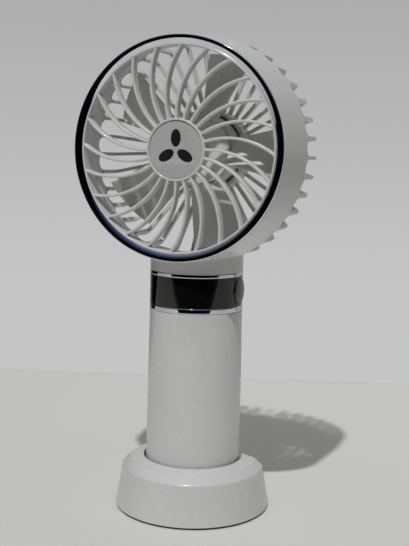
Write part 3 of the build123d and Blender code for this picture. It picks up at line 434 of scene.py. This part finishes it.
def finish_mesh(mesh: bmesh.types.BMesh, name: str, material: bpy.types.Material) -> bpy.types.Object:
    """Merges doubles, turns the faces outwards and makes an object.

    Args:
        mesh: The mesh, in its final place.
        name: Name of the new object.
        material: Its finish.

    Returns:
        The new object, at the origin.
    """
    bmesh.ops.remove_doubles(mesh, verts=mesh.verts, dist=DOUBLES)
    bmesh.ops.recalc_face_normals(mesh, faces=mesh.faces)
    data = bpy.data.meshes.new(name)
    mesh.to_mesh(data)
    mesh.free()
    data.materials.append(material)
    data.shade_smooth()
    data.set_sharp_from_angle(angle=SMOOTH_ANGLE)
    piece = bpy.data.objects.new(name, data)
    bpy.context.scene.collection.objects.link(piece)
    return piece


class TrueNormals:
    """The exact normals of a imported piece, to shade a copy of it that has softened edges."""

    def __init__(self, source: bpy.types.Object) -> None:
        """Reads the piece.

        Args:
            source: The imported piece.
        """
        data, place = source.data, source.matrix_world
        self.points = [place @ vertex.co for vertex in data.vertices]
        self.faces = [tuple(face.vertices) for face in data.polygons]
        self.corners = []
        for face in data.polygons:
            self.corners.append([data.corner_normals[i].vector.copy() for i in face.loop_indices])
        self.tree = BVHTree.FromPolygons(self.points, self.faces)

    def at(self, index: int, point: Vector) -> Vector:
        """The normal of one face, carried on to a point.

        Args:
            index: The face.
            point: The point.

        Returns:
            The normal there.
        """
        corners = (self.points[i] for i in self.faces[index])
        normal = barycentric_transform(point, *corners, *self.corners[index])
        return normal.normalized()

    def shade(self, data: bpy.types.Mesh) -> None:
        """Gives a softened copy the exact normals, which its roundings blend between.

        Args:
            data: The copy's mesh.
        """
        normals = [corner.vector.copy() for corner in data.corner_normals]
        known: dict[int, list[Vector]] = {}
        roundings = []
        for face in data.polygons:
            nearest, normal, index, distance = self.tree.find_nearest(face.center)
            if distance > SAME_PLACE or normal.dot(face.normal) < SAME_WAY:
                roundings.append(face)
                continue
            for loop, vertex in zip(face.loop_indices, face.vertices):
                place = data.vertices[vertex].co
                index = self.tree.find_nearest(place.lerp(face.center, INWARD))[2]
                exact = self.at(index, place)
                if exact.dot(face.normal) > NEAR_WAY:
                    normals[loop] = exact
                    known.setdefault(vertex, []).append(exact)
        for face in roundings:
            for loop, vertex in zip(face.loop_indices, face.vertices):
                choices = known.get(vertex, [])
                if choices:
                    normals[loop] = max(choices, key=face.normal.dot)
        data.normals_split_custom_set(normals)


def turned(outline: Outline, closed: bool = True, segments: int = SEGMENTS) -> bmesh.types.BMesh:
    """Turns an outline about Z.

    Args:
        outline: Points as radius and height.
        closed: Whether the last point joins the first.
        segments: How many steps the turn has.

    Returns:
        The turned surface.
    """
    mesh = bmesh.new()
    rings = []
    for i in range(segments):
        angle = TURN * i / segments
        rings.append([mesh.verts.new((r * math.cos(angle), r * math.sin(angle), z)) for r, z in outline])
    spans = len(outline) if closed else len(outline) - 1
    for i, ring in enumerate(rings):
        following = rings[(i + 1) % segments]
        for j in range(spans):
            k = (j + 1) % len(outline)
            mesh.faces.new((ring[j], following[j], following[k], ring[k]))
    return mesh


def head_place() -> Matrix:
    """Where the head's own frame lies: its Z axis is the fan's axis, from front to back."""
    low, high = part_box("rotor_cup")
    centre = (low + high) / 2
    return Matrix.Translation((centre.x, 0, centre.z)) @ Matrix.Rotation(-math.pi / 2, 4, "X")


# ---------------------------------------------------------------- geometry nodes
class Grower:
    """One geometry node tree with named inputs, and what it grows into."""

    def __init__(self, name: str) -> None:
        """Starts a tree that has only its output."""
        self.tree = bpy.data.node_groups.new(name, "GeometryNodeTree")
        self.tree.interface.new_socket("Geometry", in_out="OUTPUT", socket_type="NodeSocketGeometry")
        self.given = self.tree.nodes.new("NodeGroupInput")
        self.result = self.tree.nodes.new("NodeGroupOutput")

    def size(self, name: str, kind: str = "Float") -> bpy.types.NodeSocket:
        """Adds a named input of the tree and gives its socket."""
        self.tree.interface.new_socket(name, in_out="INPUT", socket_type=f"NodeSocket{kind}")
        return self.given.outputs[name]

    def node(self, kind: str, links: dict[str | int, object], **settings: object) -> bpy.types.Node:
        """Adds a node.

        Args:
            kind: The node's type without its prefix.
            links: Value or socket for each input, by the input's name or number.
            settings: Properties of the node.

        Returns:
            The new node.
        """
        prefix = "" if kind.startswith(("Shader", "Function")) else "GeometryNode"
        node = self.tree.nodes.new(prefix + kind)
        for key, value in settings.items():
            setattr(node, key, value)
        for key, value in links.items():
            if isinstance(value, bpy.types.NodeSocket):
                self.tree.links.new(value, node.inputs[key])
            else:
                node.inputs[key].default_value = value
        return node

    def swept(self, path: bpy.types.NodeSocket, normal: Colour) -> bpy.types.NodeSocket:
        """Sweeps a softly edged bar section along a path, from three inputs that it adds.

        Args:
            path: The path's curve.
            normal: Direction that the section's depth is square to.

        Returns:
            The swept mesh.
        """
        width, depth, edge = self.size("Width"), self.size("Depth"), self.size("Edge Round")
        links = {"Curve": path, "Normal": normal}
        steady = self.node("SetCurveNormal", links, mode="FREE").outputs["Curve"]
        section = self.node("CurvePrimitiveQuadrilateral", {"Width": depth, "Height": width}).outputs["Curve"]
        links = {"Curve": section, "Radius": edge, "Count": 3}
        soft = self.node("FilletCurve", links, mode="POLY").outputs["Curve"]
        links = {"Curve": steady, "Profile Curve": soft, "Fill Caps": True}
        return self.node("CurveToMesh", links).outputs["Mesh"]

    def repeated(self, piece: bpy.types.NodeSocket) -> None:
        """Ends the tree with copies of a piece evenly spaced about Z.

        Args:
            piece: The geometry to repeat.
        """
        count, first = self.size("Count", "Int"), self.size("First Angle")
        material = self.size("Finish", "Material")
        points = self.node("Points", {"Count": count}).outputs["Points"]
        index = self.node("InputIndex", {}).outputs["Index"]
        share = self.node("ShaderNodeMath", {0: index, 1: count}, operation="DIVIDE").outputs[0]
        turn = self.node("ShaderNodeMath", {0: share, 1: TURN, 2: first}, operation="MULTIPLY_ADD").outputs[0]
        angles = self.node("ShaderNodeCombineXYZ", {"Z": turn}).outputs["Vector"]
        links = {"Points": points, "Instance": piece, "Rotation": angles}
        copies = self.node("InstanceOnPoints", links).outputs["Instances"]
        real = self.node("RealizeInstances", {"Geometry": copies}).outputs["Geometry"]
        dressed = self.node("SetMaterial", {"Geometry": real, "Material": material}).outputs["Geometry"]
        self.tree.links.new(dressed, self.result.inputs["Geometry"])

    def grow(self, name: str, place: Matrix, **sizes: object) -> bpy.types.Object:
        """Runs the tree and turns its result into a plain mesh.

        Args:
            name: Name of the new object.
            place: Where the tree's own frame lies.
            sizes: A value for each named input, with underscores for spaces.

        Returns:
            The new object, at the origin, with no modifier.
        """
        carrier = bpy.data.objects.new(name, bpy.data.meshes.new(name))
        bpy.context.scene.collection.objects.link(carrier)
        modifier = carrier.modifiers.new(name, "NODES")
        modifier.node_group = self.tree
        for item in self.tree.interface.items_tree:
            if item.in_out == "INPUT":
                modifier[item.identifier] = sizes[item.name.replace(" ", "_")]
        bpy.context.view_layer.update()
        evaluated = carrier.evaluated_get(bpy.context.evaluated_depsgraph_get())
        data = bpy.data.meshes.new_from_object(evaluated)
        carrier.modifiers.remove(modifier)
        data.transform(place)
        data.shade_smooth()
        data.set_sharp_from_angle(angle=SMOOTH_ANGLE)
        carrier.data = data
        return carrier


def rib_grower() -> Grower:
    """A tree that sweeps one rib along an arc through three points and repeats it."""
    grower = Grower("swept_ribs")
    ends = {name: grower.size(name, "Vector") for name in ("Start", "Middle", "End")}
    path = grower.node("CurveArc", ends, mode="POINTS")
    path.inputs["Resolution"].default_value = 24
    grower.repeated(grower.swept(path.outputs["Curve"], (0, 0, 1)))
    return grower


def ring_grower() -> Grower:
    """A tree that repeats a ready-made piece."""
    grower = Grower("ring_of_pieces")
    piece = grower.size("Piece", "Object")
    grower.repeated(grower.node("ObjectInfo", {"Object": piece}).outputs["Geometry"])
    return grower


def coil_grower() -> Grower:
    """A tree that winds wire round a bar along X, in an oval, and repeats the coil about Z."""
    grower = Grower("wound_coils")
    turns, wire = grower.size("Turns"), grower.size("Wire")
    length, start = grower.size("Length"), grower.size("Start", "Vector")
    oval = grower.size("Oval", "Vector")
    links = {"Resolution": 24, "Rotations": turns, "Start Radius": 1.0, "End Radius": 1.0, "Height": length}
    helix = grower.node("CurveSpiral", links).outputs["Curve"]
    links = {"Geometry": helix, "Scale": oval}
    upright = grower.node("Transform", links).outputs["Geometry"]
    links = {"Geometry": upright, "Rotation": (0, math.pi / 2, 0), "Translation": start}
    lying = grower.node("Transform", links).outputs["Geometry"]
    section = grower.node("CurvePrimitiveCircle", {"Resolution": 8, "Radius": wire}).outputs["Curve"]
    links = {"Curve": lying, "Profile Curve": section, "Fill Caps": True}
    grower.repeated(grower.node("CurveToMesh", links).outputs["Mesh"])
    return grower


# ---------------------------------------------------------------- sub-assemblies
@dataclass
class Assembly:
    """What the sub-assemblies share."""

    palette: Palette
    frame: dict[str, bpy.types.Object]

    def settle(self, piece: bpy.types.Object, body: Body, slot: str, *nodes: str) -> bpy.types.Object:
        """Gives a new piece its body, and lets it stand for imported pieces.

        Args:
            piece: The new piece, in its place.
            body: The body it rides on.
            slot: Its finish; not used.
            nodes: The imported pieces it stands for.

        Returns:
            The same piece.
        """
        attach(piece, body.value)
        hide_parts(*nodes)
        LOG.info("%s: %d faces", piece.name, len(piece.data.polygons))
        return piece

    def softened(self, node: str, edge: float, body: Body, steps: int = 2) -> bpy.types.Object:
        """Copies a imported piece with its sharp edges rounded, and lets the copy stand for it.

        Args:
            node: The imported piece.
            edge: Width of the rounding.
            body: The body it rides on.
            steps: Faces across the rounding.

        Returns:
            The copy.
        """
        source = self.frame[node]
        slot = source.material_slots[0].material.name.split(".")[0]
        mesh = bmesh.new()
        for vertex in source.data.vertices:
            mesh.verts.new(source.matrix_world @ vertex.co)
        mesh.verts.ensure_lookup_table()
        for face in source.data.polygons:
            mesh.faces.new([mesh.verts[i] for i in face.vertices])
        bmesh.ops.remove_doubles(mesh, verts=mesh.verts, dist=DOUBLES)
        bmesh.ops.dissolve_limit(mesh, angle_limit=FLAT_ANGLE, verts=mesh.verts, edges=mesh.edges)
        copy = finish_mesh(mesh, f"{node}_form", self.palette[slot])
        modifier = copy.modifiers.new("soft_edges", "BEVEL")
        modifier.width = edge
        modifier.segments = steps
        modifier.limit_method = "ANGLE"
        modifier.angle_limit = SMOOTH_ANGLE
        bpy.context.view_layer.update()
        evaluated = copy.evaluated_get(bpy.context.evaluated_depsgraph_get())
        data = bpy.data.meshes.new_from_object(evaluated)
        copy.modifiers.remove(modifier)
        copy.data = data
        data.set_sharp_from_angle(angle=SMOOTH_ANGLE)
        TrueNormals(source).shade(data)
        return self.settle(copy, body, slot, node)


@dataclass
class StandBase(Assembly):
    """Round base: shell with its collar, floor plate, ballast, rubber foot and screws."""

    shell_edge: float = 0.45 * MM
    plate_edge: float = 0.3 * MM
    foot_edge: float = 0.35 * MM
    screw_edge: float = 0.08 * MM

    def build(self) -> None:
        """Builds the base."""
        self.softened("base_shell", self.shell_edge, Body.BASE, 3)
        self.softened("base_plate", self.plate_edge, Body.BASE)
        self.softened("ballast_disc", self.plate_edge, Body.BASE)
        self.softened("foot_ring", self.foot_edge, Body.BASE)
        self.softened("base_screws", self.screw_edge, Body.BASE, 1)


@dataclass
class Handle(Assembly):
    """Handle tube with its bottom cap, charging socket and lens."""

    tube_edge: float = 0.3 * MM
    cap_edge: float = 0.3 * MM
    socket_edge: float = 0.1 * MM

    def build(self) -> None:
        """Builds the handle."""
        self.softened("handle_tube", self.tube_edge, Body.FAN, 3)
        self.softened("handle_bottom_cap", self.cap_edge, Body.FAN)
        self.softened("charging_socket", self.socket_edge, Body.FAN)
        self.softened("socket_tongue", self.socket_edge, Body.FAN)
        self.softened("charge_light_lens", self.socket_edge, Body.FAN)
        self.softened("cap_screws", self.socket_edge, Body.FAN, 1)


@dataclass
class TrimStack(Assembly):
    """Gloss black band between two plated rings, with the power button in it."""

    ring_edge: float = 0.35 * MM
    band_edge: float = 0.12 * MM
    button_edge: float = 0.4 * MM

    def build(self) -> None:
        """Builds the band, its rings and the button."""
        self.softened("lower_trim_ring", self.ring_edge, Body.FAN, 4)
        self.softened("upper_trim_ring", self.ring_edge, Body.FAN, 4)
        self.softened("neck_band", self.band_edge, Body.FAN)
        self.softened("power_button", self.button_edge, Body.BUTTON, 3)


@dataclass
class Housing(Assembly):
    """Drum, slotted back, motor seat and neck, with the cap over the motor's screws."""

    edge: float = 0.28 * MM
    cap_edge: float = 0.2 * MM

    def build(self) -> None:
        """Builds the housing."""
        self.softened("head_housing", self.edge, Body.FAN)
        self.softened("rear_cap", self.cap_edge, Body.FAN)


@dataclass
class FrontGrille(Assembly):
    """Bezel, rim, swept ribs and hub of the front, with the chrome ring and the cap."""

    rib_count: int = 24
    rib_width: float = 1.15 * MM
    rib_depth: float = 4.2 * MM
    rib_setback: float = 0.2 * MM
    rib_first: float = -0.6
    rib_sweep: float = 18.0
    rib_arc: float = 34 * MM
    rib_edge: float = 0.4 * MM
    rib_bite: float = 0.4 * MM
    rim_width: float = 0.8 * MM
    rim_wall: float = 1.2 * MM
    rim_depth: float = 7 * MM
    spigot_depth: float = 3.8 * MM
    spigot_gap: float = 1.9 * MM
    chrome_width: float = 3.5 * MM
    chrome_dish: float = 1.0 * MM
    chrome_bulge: float = 0.22 * MM
    chrome_edge: float = 0.4 * MM
    chrome_gap: float = 0.05 * MM
    chrome_steps: int = 16
    flange: float = 0.8 * MM
    hub_lip: float = 0.95 * MM
    hub_wall: float = 0.9 * MM
    hub_depth: float = 6 * MM
    hub_floor: float = 1.2 * MM
    hub_hole: float = 1 * MM
    soft: float = 0.25 * MM
    fine: float = 0.1 * MM
    cap_edge: float = 0.12 * MM

    def measure(self) -> None:
        """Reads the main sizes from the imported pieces."""
        low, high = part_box("front_grille")
        chrome_low, chrome_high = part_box("chrome_ring")
        cap_low, cap_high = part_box("hub_cap")
        self.front = low.y
        self.chrome_front = chrome_low.y
        self.chrome_seat = chrome_high.y
        self.foot_radius = (high.x - low.x) / 2
        self.chrome_outer = (chrome_high.x - chrome_low.x) / 2
        self.chrome_inner = self.chrome_outer - self.chrome_width
        self.opening = self.chrome_inner - self.rim_width
        self.hub_radius = (cap_high.x - cap_low.x) / 2 + self.hub_lip
        self.cap_back = cap_high.y

    def rib_points(self) -> dict[str, Vector]:
        """Start, middle and end of one rib's line, at half its depth."""
        depth = self.front + self.rib_setback + self.rib_depth / 2
        ends = []
        radii = self.hub_radius - self.hub_wall / 2, self.opening + self.rib_bite
        for radius, angle in zip(radii, (0.0, self.rib_sweep)):
            turn = math.radians(self.rib_first + angle)
            ends.append(Vector((radius * math.cos(turn), radius * math.sin(turn), depth)))
        start, end = ends
        chord = end - start
        sag = self.rib_arc - math.sqrt(self.rib_arc**2 - chord.length_squared / 4)
        side = Vector((chord.y, -chord.x, 0)).normalized()
        return {"Start": start, "Middle": (start + end) / 2 + side * sag, "End": end}

    def bezel_outline(self) -> Outline:
        """Section of the bezel and its rim, with rounded corners."""
        seam = self.chrome_seat + self.flange
        spigot = self.foot_radius - self.spigot_gap
        rim = self.opening + self.rim_wall
        back = self.front + self.rim_depth
        soft, fine = self.soft, self.fine
        return rounded([
            (self.opening, self.front, soft), (self.chrome_inner, self.front, soft),
            (self.chrome_inner, self.chrome_seat, 0), (self.chrome_outer, self.chrome_seat, fine),
            (self.foot_radius, seam, soft), (spigot, seam, 0), (spigot, seam + self.spigot_depth, fine),
            (rim, seam + self.spigot_depth, 0), (rim, back, soft), (self.opening, back, soft),
        ])

    def hub_outline(self) -> Outline:
        """Section of the hub's wall and its floor behind the cap."""
        back = self.front + self.hub_depth
        inner = self.hub_radius - self.hub_wall
        floor, hole = self.cap_back + self.hub_floor, self.hub_hole
        return rounded([
            (inner, self.front, self.soft), (self.hub_radius, self.front, self.soft),
            (self.hub_radius, back, self.soft), (inner, back, self.soft),
            (inner, floor, 0), (hole, floor, 0), (hole, self.cap_back, 0), (inner, self.cap_back, 0),
        ])

    def chrome_outline(self) -> Outline:
        """Section of the plated ring: a dished, slightly bulging face and a turned-back outer edge."""
        low, high = self.chrome_inner + self.chrome_gap, self.chrome_outer
        crest, front = high - self.chrome_edge, self.chrome_front
        face = []
        for i in range(self.chrome_steps + 1):
            share = i / self.chrome_steps
            bulge = self.chrome_bulge * 4 * share * (1 - share)
            place = front + self.chrome_dish * (1 - share) + self.chrome_bulge - bulge
            face.append((low + (crest - low) * share, max(front, place)))
        edge = arc((crest, face[-1][1] + self.chrome_edge), self.chrome_edge, -80, 0, 6)
        return [(low, self.chrome_seat), *face, *edge, (high, self.chrome_seat)]

    def build(self) -> None:
        """Builds the grille, its plated ring and its cap."""
        self.measure()
        white, place = self.palette["white_shell"], head_place()
        bezel = turned(self.bezel_outline())
        bezel.transform(place)
        self.settle(finish_mesh(bezel, "grille_bezel", white), Body.FAN, "white_shell", "front_grille")
        hub = turned(self.hub_outline(), segments=96)
        hub.transform(place)
        self.settle(finish_mesh(hub, "grille_hub", white), Body.FAN, "white_shell", "front_grille")
        ribs = rib_grower().grow(
            "grille_ribs", place, **self.rib_points(), Width=self.rib_width, Depth=self.rib_depth,
            Edge_Round=self.rib_edge, Count=self.rib_count, First_Angle=0.0, Finish=white,
        )
        self.settle(ribs, Body.FAN, "white_shell", "front_grille")
        chrome = turned(self.chrome_outline(), segments=256)
        chrome.transform(place)
        plated = finish_mesh(chrome, "chrome_bezel", self.palette["chrome_trim"])
        self.settle(plated, Body.FAN, "chrome_trim", "chrome_ring")
        self.softened("hub_cap", self.cap_edge, Body.FAN)


@dataclass
class Motor(Assembly):
    """Motor behind the impeller, with a coil of real wire round each of its teeth."""

    poles: int = 9
    layers: float = 5.5
    wire: float = 0.26 * MM
    inner: float = 7.1 * MM
    length: float = 2.9 * MM
    half_width: float = 1.9 * MM
    metal_edge: float = 0.12 * MM

    def build(self) -> None:
        """Winds the coils and softens the metal pieces."""
        self.softened("motor_base", self.metal_edge, Body.FAN)
        self.softened("stator_core", self.metal_edge, Body.FAN, 1)
        self.softened("rotor_cup", self.metal_edge, Body.ROTOR)
        low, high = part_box("stator_windings")
        half_height = (high.y - low.y) / 2 - self.wire
        coils = coil_grower().grow(
            "stator_coils", head_place(), Turns=self.layers, Wire=self.wire, Length=self.length,
            Start=(self.inner, 0, (low.y + high.y) / 2), Oval=(half_height, self.half_width - self.wire, 1.0),
            Count=self.poles, First_Angle=0.0, Finish=self.palette["copper"],
        )
        self.settle(coils, Body.FAN, "copper", "stator_windings")


@dataclass
class Impeller(Assembly):
    """Milky hub and its broad twisted blades."""

    count: int = 5
    root_chord: float = 17 * MM
    tip_chord: float = 27 * MM
    root_pitch: float = 48.0
    tip_pitch: float = 27.0
    thickness: float = 1.2 * MM
    tip_radius: float = 43 * MM
    flat_to: float = 0.94
    flat_rest: float = 0.06
    setback: float = 0.6 * MM
    wall: float = 1.7 * MM
    nose: float = 2.6 * MM
    nose_share: float = 0.8
    lip: float = 0.2 * MM
    gap: float = 0.05 * MM
    steps: int = 22

    def measure(self) -> None:
        """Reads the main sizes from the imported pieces."""
        rotor_low, rotor_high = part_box("rotor_cup")
        self.bore = (rotor_high.x - rotor_low.x) / 2
        self.front = rotor_low.y - self.gap
        self.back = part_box("impeller")[1].y
        self.hub = self.bore + self.wall
        self.middle = rotor_low.y + self.setback

    def blade_point(self, share: float, along: float, across: float) -> Vector:
        """A point of the first blade.

        Args:
            share: Place along the span, from 0 at the root to 1 at the tip.
            along: Place along the chord, from -1 to 1.
            across: Place through the thickness, from -1 to 1.

        Returns:
            The point in the head's frame.
        """
        radius = self.bore + self.wall / 3 + (self.tip_radius - self.bore - self.wall / 3) * share
        pitch = math.radians(self.root_pitch + (self.tip_pitch - self.root_pitch) * share)
        chord = (self.root_chord + (self.tip_chord - self.root_chord) * share) / 2
        round_off = math.sqrt(max(0.0, 1 - max(0.0, (abs(along) - self.flat_to) / self.flat_rest) ** 2))
        thick = self.thickness / 2 * across * round_off
        y = chord * along * math.cos(pitch) + thick * math.sin(pitch)
        z = self.middle - chord * along * math.sin(pitch) + thick * math.cos(pitch)
        return Vector((math.sqrt(radius**2 - y**2), y, z))

    def blade(self) -> bpy.types.Object:
        """Builds one blade as a closed, evenly meshed form."""
        mesh = bmesh.new()
        places = [-math.cos(math.pi * i / self.steps) for i in range(self.steps + 1)]
        loop = [(a, 1.0) for a in places] + [(a, -1.0) for a in reversed(places[1:-1])]
        rows = []
        for i in range(self.steps + 1):
            rows.append([mesh.verts.new(self.blade_point(i / self.steps, a, side)) for a, side in loop])
        for low, high in zip(rows, rows[1:]):
            for j, vertex in enumerate(low):
                k = (j + 1) % len(loop)
                mesh.faces.new((vertex, low[k], high[k], high[j]))
        mesh.faces.new(rows[0])
        mesh.faces.new(rows[-1])
        return finish_mesh(mesh, "one_blade", self.palette["translucent_white"])

    def build(self) -> None:
        """Builds the hub and the blades."""
        self.measure()
        milky, place = self.palette["translucent_white"], head_place()
        low, nose, lip = self.front - self.nose, self.nose * self.nose_share, self.lip
        shell = [(0.0, low)] + rounded([
            (self.hub, low, nose), (self.hub, self.back, lip), (self.bore, self.back, lip),
            (self.bore, self.front, 0),
        ], 9) + [(0.0, self.front)]
        hub = turned(shell, closed=False, segments=128)
        hub.transform(place)
        self.settle(finish_mesh(hub, "impeller_hub", milky), Body.ROTOR, "translucent_white", "impeller")
        one = self.blade()
        blades = ring_grower().grow(
            "impeller_blades", place, Piece=one, Count=self.count, First_Angle=0.0, Finish=milky,
        )
        bpy.data.objects.remove(one)
        self.settle(blades, Body.ROTOR, "translucent_white", "impeller")


# ---------------------------------------------------------------- studio
@dataclass(frozen=True)
class Studio:
    """Floor, lights and camera."""

    azimuth: float = 21.55
    distance: float = 413.2 * MM
    height: float = 157.65 * MM
    yaw: float = 0.489
    pitch: float = 6.93
    roll: float = 1.30
    lens: float = 60.44
    floor_back: float = 251.6 * MM
    floor_front: float = 450 * MM
    floor_turn: float = -4.5
    key_azimuth: float = 6.5
    key_elevation: float = 56.0
    key_distance: float = 1.6
    key_size: float = 0.035
    key_power: float = 15.0
    target_height: float = 0.1
    floor_width: float = 3.0
    floor_near: Colour = (0.77, 0.765, 0.735)
    # painted light: the floor turns this brighter colour towards its back
    floor_far_painted_light: Colour = (0.98, 0.975, 0.94)
    painted_light_span: Pair = (-0.05, 0.25)
    painted_light_mix: Pair = (0.3, 0.7)
    wall_rise: Pair = (-0.13, 0.18)
    # painted shade: the backdrop runs from the first tone near the floor to the darker second tone higher up
    wall_painted_shade_tones: Pair = (0.56, 0.41)
    sky: float = 0.36
    dark: float = 0.003
    sky_rise: Pair = (0.35, 0.9)
    back_reach: Pair = (0.45, 0.85)
    blue_reach: Pair = (-0.5, -0.8)
    white: Colour = (1.0, 1.0, 1.0)
    blue: Colour = (0.22, 0.42, 0.9)

    def camera(self) -> None:
        """Places the camera."""
        data = bpy.data.cameras.new("camera")
        data.lens = self.lens
        data.clip_start = 0.01
        camera = bpy.data.objects.new("camera", data)
        turn = math.radians(self.azimuth)
        place = Vector((math.sin(turn) * self.distance, -math.cos(turn) * self.distance, self.height))
        level = Matrix.Rotation(math.radians(self.azimuth - self.yaw), 4, "Z")
        tilt = Matrix.Rotation(math.radians(90 - self.pitch), 4, "X")
        spin = Matrix.Rotation(math.radians(self.roll), 4, "Z")
        camera.matrix_world = Matrix.Translation(place) @ level @ tilt @ spin
        bpy.context.scene.collection.objects.link(camera)
        bpy.context.scene.camera = camera

    def floor(self) -> None:
        """Lays a pale floor, with painted light that brightens it towards the back."""
        mesh = bmesh.new()
        bmesh.ops.create_grid(mesh, x_segments=8, y_segments=8, size=0.5)
        depth = self.floor_back + self.floor_front
        bmesh.ops.scale(mesh, verts=mesh.verts, vec=(self.floor_width, depth, 1.0))
        bmesh.ops.translate(mesh, verts=mesh.verts, vec=(0, self.floor_back - depth / 2, 0))
        mesh.transform(Matrix.Rotation(math.radians(self.azimuth + self.floor_turn), 4, "Z"))
        shader = Shader("floor_paint", self.floor_near, 0.6)
        shader.vary_roughness(shader.noise(0.05, 2.0), 0.05)
        # Painted light: the floor's colour brightens towards the back, standing in for light that falls on it
        # from behind.
        across = shader.node("ShaderNodeSeparateXYZ", {"Vector": shader.place}).outputs["Y"]
        limits = zip(("From Min", "From Max", "To Min", "To Max"), (*self.painted_light_span, *self.painted_light_mix))
        painted_light_mask = shader.node("ShaderNodeMapRange", {"Value": across, **dict(limits)}).outputs["Result"]
        shader.vary_colour(painted_light_mask, self.floor_far_painted_light)
        floor = finish_mesh(mesh, "floor", shader.material)

    def key_lamp(self) -> None:
        """Hangs one small square light that faces the middle of the object."""
        data = bpy.data.lights.new("key", "AREA")
        data.size = self.key_size
        data.energy = self.key_power
        lamp = bpy.data.objects.new("key", data)
        turn, rise = math.radians(self.key_azimuth), math.radians(self.key_elevation)
        away = Vector((math.sin(turn) * math.cos(rise), -math.cos(turn) * math.cos(rise), math.sin(rise)))
        target = Vector((0, 0, self.target_height))
        hung = Matrix.Translation(target + away * self.key_distance)
        lamp.matrix_world = hung @ away.to_track_quat("Z", "Y").to_matrix().to_4x4()
        bpy.context.scene.collection.objects.link(lamp)

    def light(self) -> None:
        """Lights the object from above its front and fills softly from the sky and the back."""
        self.key_lamp()
        world = bpy.data.worlds.new("studio")
        bpy.context.scene.world = world
        world.use_nodes = True
        tree = world.node_tree
        direction = tree.nodes.new("ShaderNodeTexCoord").outputs["Generated"]
        parts = tree.nodes.new("ShaderNodeSeparateXYZ")
        tree.links.new(direction, parts.inputs["Vector"])

        def graded(axis: str, limits: Pair, tones: Pair) -> bpy.types.NodeSocket:
            """Runs evenly from one tone to another along an axis, between two limits."""
            ramp = tree.nodes.new("ShaderNodeMapRange")
            tree.links.new(parts.outputs[axis], ramp.inputs["Value"])
            for key, value in zip(("From Min", "From Max", "To Min", "To Max"), (*limits, *tones)):
                ramp.inputs[key].default_value = value
            return ramp.outputs["Result"]

        seen = tree.nodes["Background"]
        # The backdrop that the camera sees is painted with shade, darker towards the top.
        tree.links.new(graded("Z", self.wall_rise, self.wall_painted_shade_tones), seen.inputs["Color"])
        brighter = tree.nodes.new("ShaderNodeMath")
        brighter.operation = "MAXIMUM"
        tree.links.new(graded("Z", self.sky_rise, (self.dark, self.sky)), brighter.inputs[0])
        tree.links.new(graded("Y", self.back_reach, (0.0, self.sky)), brighter.inputs[1])
        tint = tree.nodes.new("ShaderNodeMix")
        tint.data_type = "RGBA"
        tree.links.new(graded("Y", self.blue_reach, (0.0, 1.0)), tint.inputs[0])
        tint.inputs[6].default_value = (*self.white, 1.0)
        tint.inputs[7].default_value = (*self.blue, 1.0)
        unseen = tree.nodes.new("ShaderNodeBackground")
        tree.links.new(tint.outputs[2], unseen.inputs["Color"])
        tree.links.new(brighter.outputs[0], unseen.inputs["Strength"])
        choice = tree.nodes.new("ShaderNodeMixShader")
        tree.links.new(tree.nodes.new("ShaderNodeLightPath").outputs["Is Camera Ray"], choice.inputs["Fac"])
        tree.links.new(unseen.outputs["Background"], choice.inputs[1])
        tree.links.new(seen.outputs["Background"], choice.inputs[2])
        tree.links.new(choice.outputs["Shader"], tree.nodes["World Output"].inputs["Surface"])

    def build(self) -> None:
        """Builds the whole studio."""
        self.camera()
        self.floor()
        self.light()
        bpy.context.scene.view_settings.view_transform = "Standard"


def main() -> None:
    """Builds everything in order."""
    logging.basicConfig(level=logging.INFO, format="%(name)s: %(message)s")
    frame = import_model()
    palette = Palette()
    palette.dress_frame(frame["nodes"])
    for assembly in (StandBase, Handle, TrimStack, Housing, FrontGrille, Motor, Impeller):
        LOG.info("building %s", assembly.__name__)
        assembly(palette, frame["nodes"]).build()
    Studio().build()


if __name__ == "__main__":
    main()
